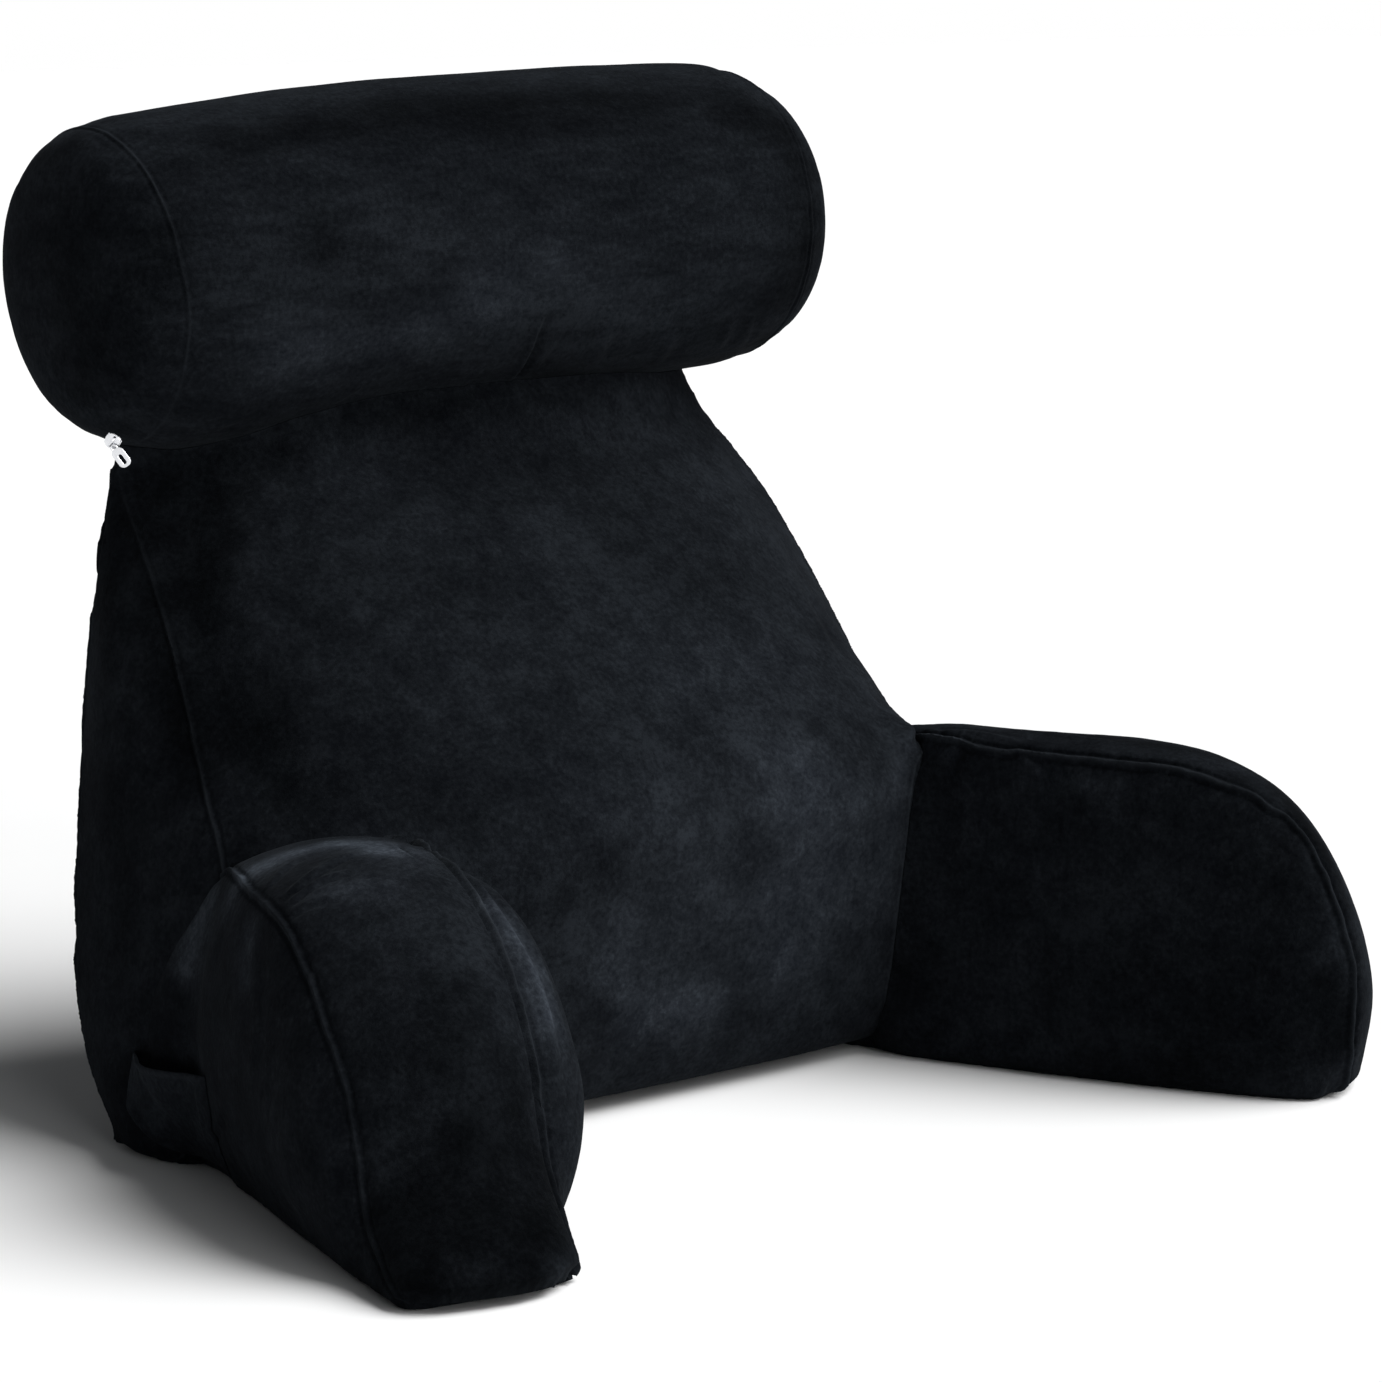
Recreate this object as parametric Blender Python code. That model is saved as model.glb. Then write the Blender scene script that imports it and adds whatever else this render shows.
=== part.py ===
# Reading pillow with arms: a filled wedge back, two D-shaped arms, a neck roll
# seated on the top edge, an open side pocket and the zip slider of the roll.
# Metres, +Z up, the sitter's side faces -Y, the pillow stands on z = 0.
import math
import bpy
import bmesh
from mathutils import Vector
from mathutils.bvhtree import BVHTree

# ---------------------------------------------------------------- driving sizes
GAP = 0.00035            # clearance between neighbouring pieces
SIDE_HALF_BASE = 0.295   # half width of the wedge on the floor
SIDE_TAPER = 0.163       # how much each side draws in per metre of height
BACK_RING_FRONT = 22     # facets across the front panel
BACK_RING_SIDE = 4       # facets across one side gusset
BACK_RING_REAR = 18      # facets across the back panel
BACK_STEPS = 2           # rings between two rows of the wedge table
SIDE_CROWN = 0.012       # swell of the side gussets

ROLL_CENTRE = Vector((0.001, 0.169, 0.504))
ROLL_YAW = math.radians(-1.7)
ROLL_TILT = math.radians(3.1)
ROLL_FACETS = 40

POCKET_THICK = 0.0020
POCKET_CLEAR = 0.0012    # pocket cloth to arm at the sewn edges
POCKET_GAPE = 0.0150     # how far the mouth sags open

CLOTH = (0.012, 0.013, 0.015, 1.0)
CHROME = (0.72, 0.73, 0.75, 1.0)

# Wedge rings, floor to top. y_front/y_rear: seam lines; crown_front/crown_rear:
# how far the panel stands proud of its seams; roll_off/edge: how flat the front
# panel stays and how fast it drops to its seams; draw_l/draw_r: side drawn in.
WEDGE_COLS = ("z", "y_front", "crown_front", "y_rear", "crown_rear",
              "roll_off", "edge", "draw_l", "draw_r")
WEDGE = (
    (0.000, 0.030, 0.050, 0.092, 0.022, 4.0, 0.667, 0.006, 0.006),
    (0.012, 0.024, 0.067, 0.108, 0.024, 4.0, 0.667, 0.000, 0.000),
    (0.040, 0.016, 0.069, 0.133, 0.027, 4.0, 0.667, 0.000, 0.000),
    (0.080, 0.010, 0.071, 0.152, 0.031, 4.0, 0.667, 0.000, 0.000),
    (0.130, 0.010, 0.079, 0.164, 0.034, 4.0, 0.667, 0.000, 0.002),
    (0.172, 0.020, 0.095, 0.169, 0.036, 4.0, 0.680, 0.000, 0.004),
    (0.215, 0.050, 0.106, 0.172, 0.036, 3.4, 0.860, 0.000, 0.007),
    (0.262, 0.078, 0.092, 0.174, 0.035, 3.0, 1.000, 0.000, 0.006),
    (0.308, 0.109, 0.082, 0.175, 0.034, 2.8, 1.000, 0.000, 0.005),
    (0.345, 0.138, 0.074, 0.175, 0.034, 2.6, 1.000, 0.000, 0.008),
    (0.380, 0.165, 0.062, 0.174, 0.036, 2.6, 1.000, 0.000, 0.016),
    (0.410, 0.168, 0.054, 0.173, 0.038, 2.6, 1.000, 0.004, 0.032),
    (0.450, 0.168, 0.036, 0.172, 0.030, 2.6, 1.000, 0.012, 0.040),
)

# Roll profile, left cap to right cap: distance along the axis, radius, and how far
# the slack ends sag under the axis.
ROLL_COLS = ("axial", "radius", "sag")
ROLL = (
    (-0.2660, 0.0120, 0.0050),
    (-0.2652, 0.0340, 0.0050),
    (-0.2625, 0.0560, 0.0048),
    (-0.2570, 0.0735, 0.0045),
    (-0.2470, 0.0860, 0.0040),
    (-0.2330, 0.0918, 0.0035),
    (-0.2100, 0.0945, 0.0028),
    (-0.1700, 0.0970, 0.0015),
    (-0.1000, 0.0990, 0.0000),
    (-0.0200, 0.0995, -0.0005),
    (0.0700, 0.0990, 0.0000),
    (0.1500, 0.0982, 0.0008),
    (0.2050, 0.0960, 0.0018),
    (0.2330, 0.0908, 0.0028),
    (0.2500, 0.0800, 0.0036),
    (0.2610, 0.0630, 0.0040),
    (0.2675, 0.0370, 0.0042),
    (0.2695, 0.0120, 0.0042),
)

# Arms. s runs forward along the arm, n outward across it, z up. Stations go from
# the rear foot over the dome and the round front down to the toe; crown is how far
# the boxing stands proud, swell_out/swell_in how far the two panels bulge.
ARM_COLS = ("s_out", "n_out", "z_out", "s_in", "n_in", "z_in", "s_foot", "n_foot",
            "crown", "swell_out", "swell_in")
ARM_LEFT_BASE = (-0.1796, 0.0055)
ARM_LEFT_SPLAY = math.radians(16.8)
ARM_LEFT_INNER_FOOT = 0.004      # n of the inner panel's lower edge
ARM_LEFT = (
    (-0.006, 0.1224, 0.004, -0.006, 0.040, 0.004, -0.006, 0.1224, 0.000, 0.000, 0.000),
    (-0.030, 0.1260, 0.038, -0.030, 0.040, 0.038, 0.000, 0.1195, 0.000, 0.010, 0.000),
    (-0.047, 0.1240, 0.066, -0.047, 0.030, 0.066, 0.008, 0.1165, 0.000, 0.014, 0.000),
    (-0.042, 0.1175, 0.100, -0.042, 0.020, 0.100, 0.018, 0.1130, 0.000, 0.018, 0.000),
    (-0.022, 0.1062, 0.132, -0.022, 0.010, 0.134, 0.032, 0.1090, 0.002, 0.020, 0.000),
    (0.014, 0.0885, 0.170, 0.006, -0.006, 0.176, 0.050, 0.1060, 0.006, 0.020, 0.006),
    (0.060, 0.0950, 0.175, 0.056, -0.006, 0.184, 0.072, 0.1040, 0.011, 0.020, 0.018),
    (0.104, 0.1005, 0.175, 0.104, -0.002, 0.186, 0.100, 0.1035, 0.014, 0.020, 0.028),
    (0.150, 0.1035, 0.172, 0.148, 0.000, 0.186, 0.134, 0.1035, 0.016, 0.020, 0.035),
    (0.184, 0.1035, 0.162, 0.184, 0.000, 0.174, 0.166, 0.1035, 0.019, 0.020, 0.039),
    (0.216, 0.1035, 0.140, 0.216, 0.000, 0.156, 0.198, 0.1035, 0.022, 0.020, 0.041),
    (0.244, 0.1035, 0.116, 0.242, 0.000, 0.129, 0.226, 0.1035, 0.024, 0.020, 0.041),
    (0.267, 0.1035, 0.090, 0.262, 0.000, 0.096, 0.252, 0.1035, 0.025, 0.020, 0.038),
    (0.281, 0.1035, 0.058, 0.272, 0.000, 0.062, 0.274, 0.1035, 0.027, 0.018, 0.030),
    (0.292, 0.1035, 0.030, 0.290, 0.000, 0.031, 0.292, 0.1035, 0.029, 0.010, 0.016),
    (0.318, 0.1030, 0.005, 0.314, 0.001, 0.005, 0.314, 0.1025, 0.030, 0.000, 0.000),
)

ARM_RIGHT_BASE = (0.1786, -0.0357)
ARM_RIGHT_SPLAY = math.radians(20.6)
ARM_RIGHT_INNER_FOOT = -0.016
ARM_RIGHT = (
    (-0.050, 0.1250, 0.004, -0.050, 0.040, 0.004, -0.050, 0.1250, 0.000, 0.000, 0.000),
    (-0.074, 0.1290, 0.038, -0.074, 0.040, 0.038, -0.044, 0.1215, 0.000, 0.010, 0.000),
    (-0.088, 0.1290, 0.066, -0.088, 0.030, 0.066, -0.034, 0.1165, 0.000, 0.014, 0.000),
    (-0.082, 0.1230, 0.100, -0.082, 0.020, 0.100, -0.020, 0.1110, 0.000, 0.018, 0.000),
    (-0.062, 0.1110, 0.132, -0.062, 0.010, 0.138, -0.004, 0.1060, 0.004, 0.020, 0.000),
    (-0.026, 0.0950, 0.170, -0.020, -0.004, 0.188, 0.016, 0.1020, 0.009, 0.020, 0.000),
    (0.024, 0.0930, 0.176, 0.026, -0.002, 0.202, 0.044, 0.0990, 0.012, 0.020, 0.000),
    (0.074, 0.0930, 0.178, 0.074, 0.001, 0.198, 0.080, 0.0970, 0.014, 0.020, 0.004),
    (0.118, 0.0920, 0.178, 0.120, 0.001, 0.194, 0.116, 0.0950, 0.015, 0.020, 0.006),
    (0.162, 0.0900, 0.176, 0.166, 0.000, 0.194, 0.150, 0.0930, 0.015, 0.020, 0.008),
    (0.200, 0.0880, 0.168, 0.212, 0.000, 0.190, 0.184, 0.0910, 0.015, 0.020, 0.010),
    (0.230, 0.0860, 0.152, 0.254, 0.000, 0.177, 0.214, 0.0880, 0.015, 0.020, 0.010),
    (0.251, 0.0840, 0.126, 0.284, 0.000, 0.151, 0.240, 0.0860, 0.016, 0.020, 0.010),
    (0.267, 0.0830, 0.095, 0.302, 0.000, 0.111, 0.262, 0.0840, 0.018, 0.018, 0.008),
    (0.277, 0.0820, 0.054, 0.308, 0.000, 0.060, 0.276, 0.0820, 0.018, 0.012, 0.004),
    (0.272, 0.0790, 0.005, 0.303, 0.002, 0.005, 0.272, 0.0790, 0.006, 0.000, 0.000),
)

ARM_STEPS = 2            # rings between two stations
PANEL_FACETS = 5         # facets from seam to foot on a panel
BOXING_FACETS = 7        # facets across the boxing strip
FOOT_FACETS = 4          # facets across the flat underside

# Pocket: u runs along the arm from rear to front, each row is one upright strip.
POCKET_COLS = ("s", "z_foot", "z_mouth", "gape")
POCKET = (
    (-0.028, 0.030, 0.0620, 0.00),
    (-0.016, 0.019, 0.0600, 0.38),
    (-0.002, 0.011, 0.0575, 0.74),
    (0.012, 0.008, 0.0565, 0.95),
    (0.028, 0.007, 0.0575, 1.00),
    (0.044, 0.007, 0.0600, 0.72),
    (0.057, 0.007, 0.0630, 0.34),
    (0.068, 0.007, 0.0660, 0.00),
)


# ---------------------------------------------------------------- small helpers
def smooth_rows(rows, steps):
    """Catmull-Rom rows through a table, `steps` intervals between two rows."""
    out = []
    last = len(rows) - 1
    for i in range(last):
        a = rows[max(i - 1, 0)]
        b, c = rows[i], rows[i + 1]
        d = rows[min(i + 2, last)]
        for k in range(steps):
            t = k / steps
            t2, t3 = t * t, t * t * t
            out.append(tuple(
                0.5 * (2 * q + (r - p) * t + (2 * p - 5 * q + 4 * r - s) * t2
                       + (3 * q - p - 3 * r + s) * t3)
                for p, q, r, s in zip(a, b, c, d)))
    out.append(tuple(rows[last]))
    return out


def make_material(name, colour, rough, metal):
    mat = bpy.data.materials.new(name)
    mat.use_nodes = True
    bsdf = mat.node_tree.nodes["Principled BSDF"]
    bsdf.inputs["Base Color"].default_value = colour
    bsdf.inputs["Roughness"].default_value = rough
    bsdf.inputs["Metallic"].default_value = metal
    return mat


def make_object(name, verts, faces, mat):
    mesh = bpy.data.meshes.new(name)
    mesh.from_pydata([tuple(v) for v in verts], [], faces)
    mesh.validate()
    mesh.update()
    bm = bmesh.new()
    bm.from_mesh(mesh)
    bmesh.ops.triangulate(bm, faces=bm.faces, quad_method="SHORT_EDGE")
    bmesh.ops.recalc_face_normals(bm, faces=bm.faces)
    if bm.calc_volume(signed=True) < 0:
        bmesh.ops.reverse_faces(bm, faces=bm.faces)
    bm.to_mesh(mesh)
    bm.free()
    mesh.materials.append(mat)
    mesh.shade_smooth()
    obj = bpy.data.objects.new(name, mesh)
    bpy.context.scene.collection.objects.link(obj)
    return obj


def loft(rings):
    """Closed skin over equal closed rings, with a fan cap at each end."""
    n = len(rings[0])
    verts = [p for ring in rings for p in ring]
    faces = []
    for i in range(len(rings) - 1):
        for j in range(n):
            k = (j + 1) % n
            faces.append((i * n + j, i * n + k, (i + 1) * n + k, (i + 1) * n + j))
    for first, flip in ((0, True), ((len(rings) - 1) * n, False)):
        centre = sum((Vector(verts[first + j]) for j in range(n)), Vector()) / n
        verts.append(centre)
        c = len(verts) - 1
        for j in range(n):
            tri = (first + j, first + (j + 1) % n, c)
            faces.append(tri[::-1] if flip else tri)
    return verts, faces


def swollen_copy(obj, by, name):
    """Cutter: the same solid, every face moved out by `by`."""
    mesh = obj.data.copy()
    mesh.name = name
    mesh.update()
    normals = [v.normal.copy() for v in mesh.vertices]
    for v, n in zip(mesh.vertices, normals):
        v.co = v.co + n * by
    cut = bpy.data.objects.new(name, mesh)
    bpy.context.scene.collection.objects.link(cut)
    cut.hide_render = True
    cut.display_type = "WIRE"
    return cut


def cut_by(obj, cutter):
    mod = obj.modifiers.new("seat", "BOOLEAN")
    mod.operation = "DIFFERENCE"
    mod.object = cutter
    mod.solver = "EXACT"


# ---------------------------------------------------------------- pieces
def wedge_ring(row):
    z, y_front, crown_front, y_rear, crown_rear, roll_off, edge, draw_l, draw_r = row
    side = SIDE_HALF_BASE - SIDE_TAPER * z
    left, right = side - draw_l, side - draw_r
    ring = []
    for i in range(BACK_RING_FRONT):                      # left seam to right seam
        a = math.pi * i / BACK_RING_FRONT
        u = -math.cos(a)
        swell = max(0.0, 1.0 - abs(u) ** roll_off) ** edge
        ring.append(Vector((u * (right if u > 0 else left),
                            y_front - crown_front * swell, z)))
    for i in range(BACK_RING_SIDE):                       # right gusset
        w = i / BACK_RING_SIDE
        ring.append(Vector((right + SIDE_CROWN * math.sin(math.pi * w)
                            * min(1.0, (y_rear - y_front) / 0.1),
                            y_front + (y_rear - y_front) * w, z)))
    for i in range(BACK_RING_REAR):                       # back panel
        a = math.pi * i / BACK_RING_REAR
        u = math.cos(a)
        swell = max(0.0, 1.0 - abs(u) ** 3.0) ** 0.75
        ring.append(Vector((u * (right if u > 0 else left),
                            y_rear + crown_rear * swell, z)))
    for i in range(BACK_RING_SIDE):                       # left gusset
        w = 1.0 - i / BACK_RING_SIDE
        ring.append(Vector((-left - SIDE_CROWN * math.sin(math.pi * w)
                            * min(1.0, (y_rear - y_front) / 0.1),
                            y_front + (y_rear - y_front) * w, z)))
    return ring


def roll_rings():
    ax = Vector((math.cos(ROLL_YAW) * math.cos(ROLL_TILT),
                 math.sin(ROLL_YAW) * math.cos(ROLL_TILT), math.sin(ROLL_TILT)))
    ay = Vector((-math.sin(ROLL_YAW), math.cos(ROLL_YAW), 0.0))
    az = ax.cross(ay)
    rings = []
    for axial, radius, sag in smooth_rows(ROLL, 2):
        ring = []
        for i in range(ROLL_FACETS):
            a = 2 * math.pi * i / ROLL_FACETS
            ring.append(ROLL_CENTRE + ax * axial - Vector((0, 0, sag))
                        + (ay * math.cos(a) + az * math.sin(a)) * radius)
        rings.append(ring)
    return rings


def arm_frame(base, splay, side):
    origin = Vector((base[0], base[1], 0.0))
    along = Vector((side * math.sin(splay), -math.cos(splay), 0.0))
    across = Vector((side * math.cos(splay), math.sin(splay), 0.0))
    return lambda s, n, z: origin + along * s + across * n + Vector((0, 0, z))


def arm_rings(table, place, inner_foot):
    rows = smooth_rows(table, ARM_STEPS)
    rings = []
    last = len(rows) - 1
    for i, row in enumerate(rows):
        (s_out, n_out, z_out, s_in, n_in, z_in, s_foot, n_foot,
         crown, swell_out, swell_in) = row
        z_out, z_in = max(z_out, 0.003), max(z_in, 0.003)
        p, q = rows[max(i - 1, 0)], rows[min(i + 1, last)]
        ds, dz = q[0] + q[3] - p[0] - p[3], q[2] + q[5] - p[2] - p[5]
        size = math.hypot(ds, dz) or 1.0
        out_s, out_z = -dz / size, max(ds / size, 0.0)
        if i == last:
            out_s, out_z = 1.0, 0.0
        # the inner lower edge runs back to the seam line at both ends
        spread = math.sin(math.pi * min(1.0, max(0.0, (i - 8) / (last - 8)))) ** 0.6
        n_base = 0.004 + (inner_foot - 0.004) * spread
        ring = []
        reach = math.hypot(s_out - s_foot, z_out)
        lift = min(1.0, reach / 0.13)
        for k in range(PANEL_FACETS):                     # outer panel, foot to seam
            w = k / PANEL_FACETS
            bump = swell_out * lift * math.sin(math.pi * w) ** 0.8 if w > 0 else 0.0
            ring.append(place(s_foot + (s_out - s_foot) * w,
                              n_foot + (n_out - n_foot) * w + bump, z_out * w))
        for k in range(BOXING_FACETS):                    # boxing, outer to inner seam
            w = k / BOXING_FACETS
            rise = crown * (1.0 - (2 * w - 1) ** 2) ** 0.8
            ring.append(place(s_out + (s_in - s_out) * w + out_s * rise,
                              n_out + (n_in - n_out) * w,
                              z_out + (z_in - z_out) * w + out_z * rise))
        s_foot_in = s_foot + (s_in - s_out) * 0.5
        lift = min(1.0, math.hypot(s_in - s_foot_in, z_in) / 0.13)
        for k in range(PANEL_FACETS):                     # inner panel, seam to foot
            w = 1.0 - k / PANEL_FACETS
            bump = swell_in * lift * math.sin(math.pi * w) ** 0.5 if w < 1 else 0.0
            ring.append(place(s_foot_in + (s_in - s_foot_in) * w,
                              n_base + (n_in - n_base) * w - bump, z_in * w))
        for k in range(FOOT_FACETS):                      # flat underside
            w = k / FOOT_FACETS
            ring.append(place(s_foot_in + (s_foot - s_foot_in) * w,
                              n_base + (n_foot - n_base) * w, 0.0))
        rings.append(ring)
    return rings


def pocket_skin(place, tree, side, splay):
    """Cloth patch on the arm's outer panel: open along the top, sewn round the rest."""
    outward = Vector((side * math.cos(splay), math.sin(splay), 0.0))
    rows = smooth_rows(POCKET, 2)
    levels = 6
    outer, inner = [], []
    for s, z_foot, z_mouth, gape in rows:
        for k in range(levels + 1):
            w = k / levels
            z = z_foot + (z_mouth - z_foot) * w
            start = place(s, 0.4, z)
            hit = tree.ray_cast(start, -outward)
            skin = hit[0] if hit[0] is not None else place(s, 0.11, z)
            stand = POCKET_CLEAR + POCKET_GAPE * gape * w ** 1.3
            inner.append(skin + outward * stand)
            outer.append(skin + outward * (stand + POCKET_THICK))
    cols = levels + 1
    count = len(rows)
    verts = inner + outer
    off = len(inner)
    faces = []
    for i in range(count - 1):
        for k in range(levels):
            a, b = i * cols + k, (i + 1) * cols + k
            faces.append((a, b, b + 1, a + 1))
            faces.append((off + a, off + a + 1, off + b + 1, off + b))
        for k in (0, levels):
            a, b = i * cols + k, (i + 1) * cols + k
            faces.append((a, b, off + b, off + a) if k else (b, a, off + a, off + b))
    for i in (0, count - 1):
        for k in range(levels):
            a = i * cols + k
            faces.append((a, a + 1, off + a + 1, off + a) if i == 0
                         else (a + 1, a, off + a, off + a + 1))
    return verts, faces


def bevelled_block(name, size, centre, turn, mat, bevel, slot=None):
    """Small metal block, optionally with a slot through it, turned about its centre."""
    bm = bmesh.new()
    bmesh.ops.create_cube(bm, size=1.0)
    for v in bm.verts:
        v.co = Vector((v.co.x * size[0], v.co.y * size[1], v.co.z * size[2]))
    mesh = bpy.data.meshes.new(name)
    bm.to_mesh(mesh)
    bm.free()
    mesh.materials.append(mat)
    obj = bpy.data.objects.new(name, mesh)
    bpy.context.scene.collection.objects.link(obj)
    if slot:
        bm = bmesh.new()
        bmesh.ops.create_cube(bm, size=1.0)
        for v in bm.verts:
            v.co = Vector((v.co.x * slot[0], v.co.y * size[1] * 3, v.co.z * slot[1] + slot[2]))
        cm = bpy.data.meshes.new(name + "_slot")
        bm.to_mesh(cm)
        bm.free()
        cutter = bpy.data.objects.new(name + "_slot", cm)
        bpy.context.scene.collection.objects.link(cutter)
        cutter.hide_render = True
        cutter.display_type = "WIRE"
        cutter.parent = obj
        cut_by(obj, cutter)
    mod = obj.modifiers.new("soft_edges", "BEVEL")
    mod.width = bevel
    mod.segments = 2
    mod.limit_method = "ANGLE"
    obj.location = centre
    obj.rotation_euler = turn
    return obj


def build():
    for obj in list(bpy.data.objects):
        bpy.data.objects.remove(obj, do_unlink=True)

    velvet = {n: make_material(n + "_velvet", CLOTH, 0.95, 0.0)
              for n in ("back", "arm_l", "arm_r", "roll", "pocket")}
    chrome_a = make_material("slider_chrome", CHROME, 0.22, 1.0)
    chrome_b = make_material("pull_chrome", CHROME, 0.22, 1.0)

    roll = make_object("neck_roll", *loft(roll_rings()), velvet["roll"])
    back = make_object("back_cushion",
                       *loft([wedge_ring(r) for r in smooth_rows(WEDGE, BACK_STEPS)]),
                       velvet["back"])

    place_l = arm_frame(ARM_LEFT_BASE, ARM_LEFT_SPLAY, -1)
    place_r = arm_frame(ARM_RIGHT_BASE, ARM_RIGHT_SPLAY, 1)
    arm_l = make_object("arm_left", *loft(arm_rings(ARM_LEFT, place_l,
                                                      ARM_LEFT_INNER_FOOT)),
                        velvet["arm_l"])
    arm_r = make_object("arm_right", *loft(arm_rings(ARM_RIGHT, place_r,
                                                       ARM_RIGHT_INNER_FOOT)),
                        velvet["arm_r"])

    verts = [v.co.copy() for v in arm_l.data.vertices]
    polys = [tuple(p.vertices) for p in arm_l.data.polygons]
    polys += [tuple(i + len(verts) for i in p.vertices) for p in back.data.polygons]
    verts += [v.co.copy() for v in back.data.vertices]
    tree = BVHTree.FromPolygons(verts, polys)
    pocket = make_object("arm_pocket", *pocket_skin(place_l, tree, -1, ARM_LEFT_SPLAY),
                         velvet["pocket"])

    roll_cut = swollen_copy(roll, GAP, "roll_seat_cutter")
    back_cut = swollen_copy(back, GAP, "back_seat_cutter")
    cut_by(back, roll_cut)
    cut_by(arm_l, back_cut)
    cut_by(arm_r, back_cut)

    slider = bevelled_block("zip_slider", (0.0095, 0.0060, 0.0080),
                            Vector((-0.2470, 0.1420, 0.4030)),
                            (0.0, math.radians(35), math.radians(-40)), chrome_a, 0.0009)
    pull = bevelled_block("zip_pull", (0.0070, 0.0016, 0.0150),
                          Vector((-0.2462, 0.1355, 0.3947)),
                          (0.0, math.radians(-35), math.radians(-40)),
                          chrome_b, 0.0004, (0.0030, 0.0070, -0.0018))

    # Put the origin under the middle of the whole pillow, on the floor.
    pieces = [back, arm_l, arm_r, roll, pocket, slider, pull]
    bpy.context.view_layer.update()
    graph = bpy.context.evaluated_depsgraph_get()
    low, high = Vector((9, 9, 9)), Vector((-9, -9, -9))
    for obj in pieces:
        ev = obj.evaluated_get(graph)
        me = ev.to_mesh()
        for v in me.vertices:
            p = ev.matrix_world @ v.co
            low = Vector(map(min, low, p))
            high = Vector(map(max, high, p))
        ev.to_mesh_clear()
    shift = Vector((-(low.x + high.x) / 2, -(low.y + high.y) / 2, -low.z))
    stand = bpy.data.objects.new("pillow_origin", None)
    bpy.context.scene.collection.objects.link(stand)
    stand.location = shift
    for obj in pieces + [roll_cut, back_cut]:
        obj.parent = stand
    print("shift", [round(c, 5) for c in shift], "low", [round(c, 4) for c in low],
          "high", [round(c, 4) for c in high])


build()
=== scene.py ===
# Looks of the reading pillow with arms: plush-covered filled cushions with sewn seams,
# gathers and folds, an open cloth pocket and a plated zip slider, on a pale floor.
# Every size is in metres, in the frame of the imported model.
import math

import bmesh
import bpy
import numpy as np
from mathutils import Matrix, Vector
from mathutils.bvhtree import BVHTree
from mathutils.kdtree import KDTree


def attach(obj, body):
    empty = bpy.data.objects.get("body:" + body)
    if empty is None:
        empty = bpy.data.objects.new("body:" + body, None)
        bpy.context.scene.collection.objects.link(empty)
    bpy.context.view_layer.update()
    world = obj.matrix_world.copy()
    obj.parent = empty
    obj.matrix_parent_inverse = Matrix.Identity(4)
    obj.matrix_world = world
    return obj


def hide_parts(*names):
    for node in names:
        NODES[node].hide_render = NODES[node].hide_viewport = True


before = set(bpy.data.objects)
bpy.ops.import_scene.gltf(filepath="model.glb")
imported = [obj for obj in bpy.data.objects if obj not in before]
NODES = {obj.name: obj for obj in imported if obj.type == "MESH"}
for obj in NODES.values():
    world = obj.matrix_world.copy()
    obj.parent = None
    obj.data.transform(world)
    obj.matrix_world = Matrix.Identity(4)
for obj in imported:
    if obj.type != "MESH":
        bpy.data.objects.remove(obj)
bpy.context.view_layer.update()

# ------------------------------------------------------------------ the camera's fit
SHIFT = Vector((0.00380, 0.02705, 0.0))     # fit frame to the model's frame
CAM_AT = Vector((-1.6835, -2.0985, 0.6512)) + SHIFT
CAM_AZ, CAM_EL, CAM_ROLL = (math.radians(a) for a in (-39.7469, 8.6379, -1.2245))
FOCAL_PX, HALF_PX = 4576.417, 691.0
BACKWARD = Vector((math.sin(CAM_AZ) * math.cos(CAM_EL),
                   -math.cos(CAM_AZ) * math.cos(CAM_EL), math.sin(CAM_EL)))
_right = Vector((math.cos(CAM_AZ), math.sin(CAM_AZ), 0.0))
_up = BACKWARD.cross(_right)
RIGHT = _right * math.cos(CAM_ROLL) + _up * math.sin(CAM_ROLL)
UP = -_right * math.sin(CAM_ROLL) + _up * math.cos(CAM_ROLL)


def pixel_ray(x, y):
    """Direction of the camera's ray through a pixel of the 1382 x 1382 frame."""
    d = -BACKWARD + RIGHT * ((x - HALF_PX) / FOCAL_PX) - UP * ((y - HALF_PX) / FOCAL_PX)
    return d.normalized()


def to_pixels(points):
    """Pixels of the 1382 x 1382 frame for an array of points."""
    q = points - np.array(CAM_AT)
    d = -(q @ np.array(BACKWARD))
    return np.stack([HALF_PX + FOCAL_PX * (q @ np.array(RIGHT)) / d,
                     HALF_PX - FOCAL_PX * (q @ np.array(UP)) / d], 1)


# ------------------------------------------------------------------ shape tables
SIDE_HALF_BASE, SIDE_TAPER, SIDE_CROWN = 0.295, 0.163, 0.012
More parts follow.
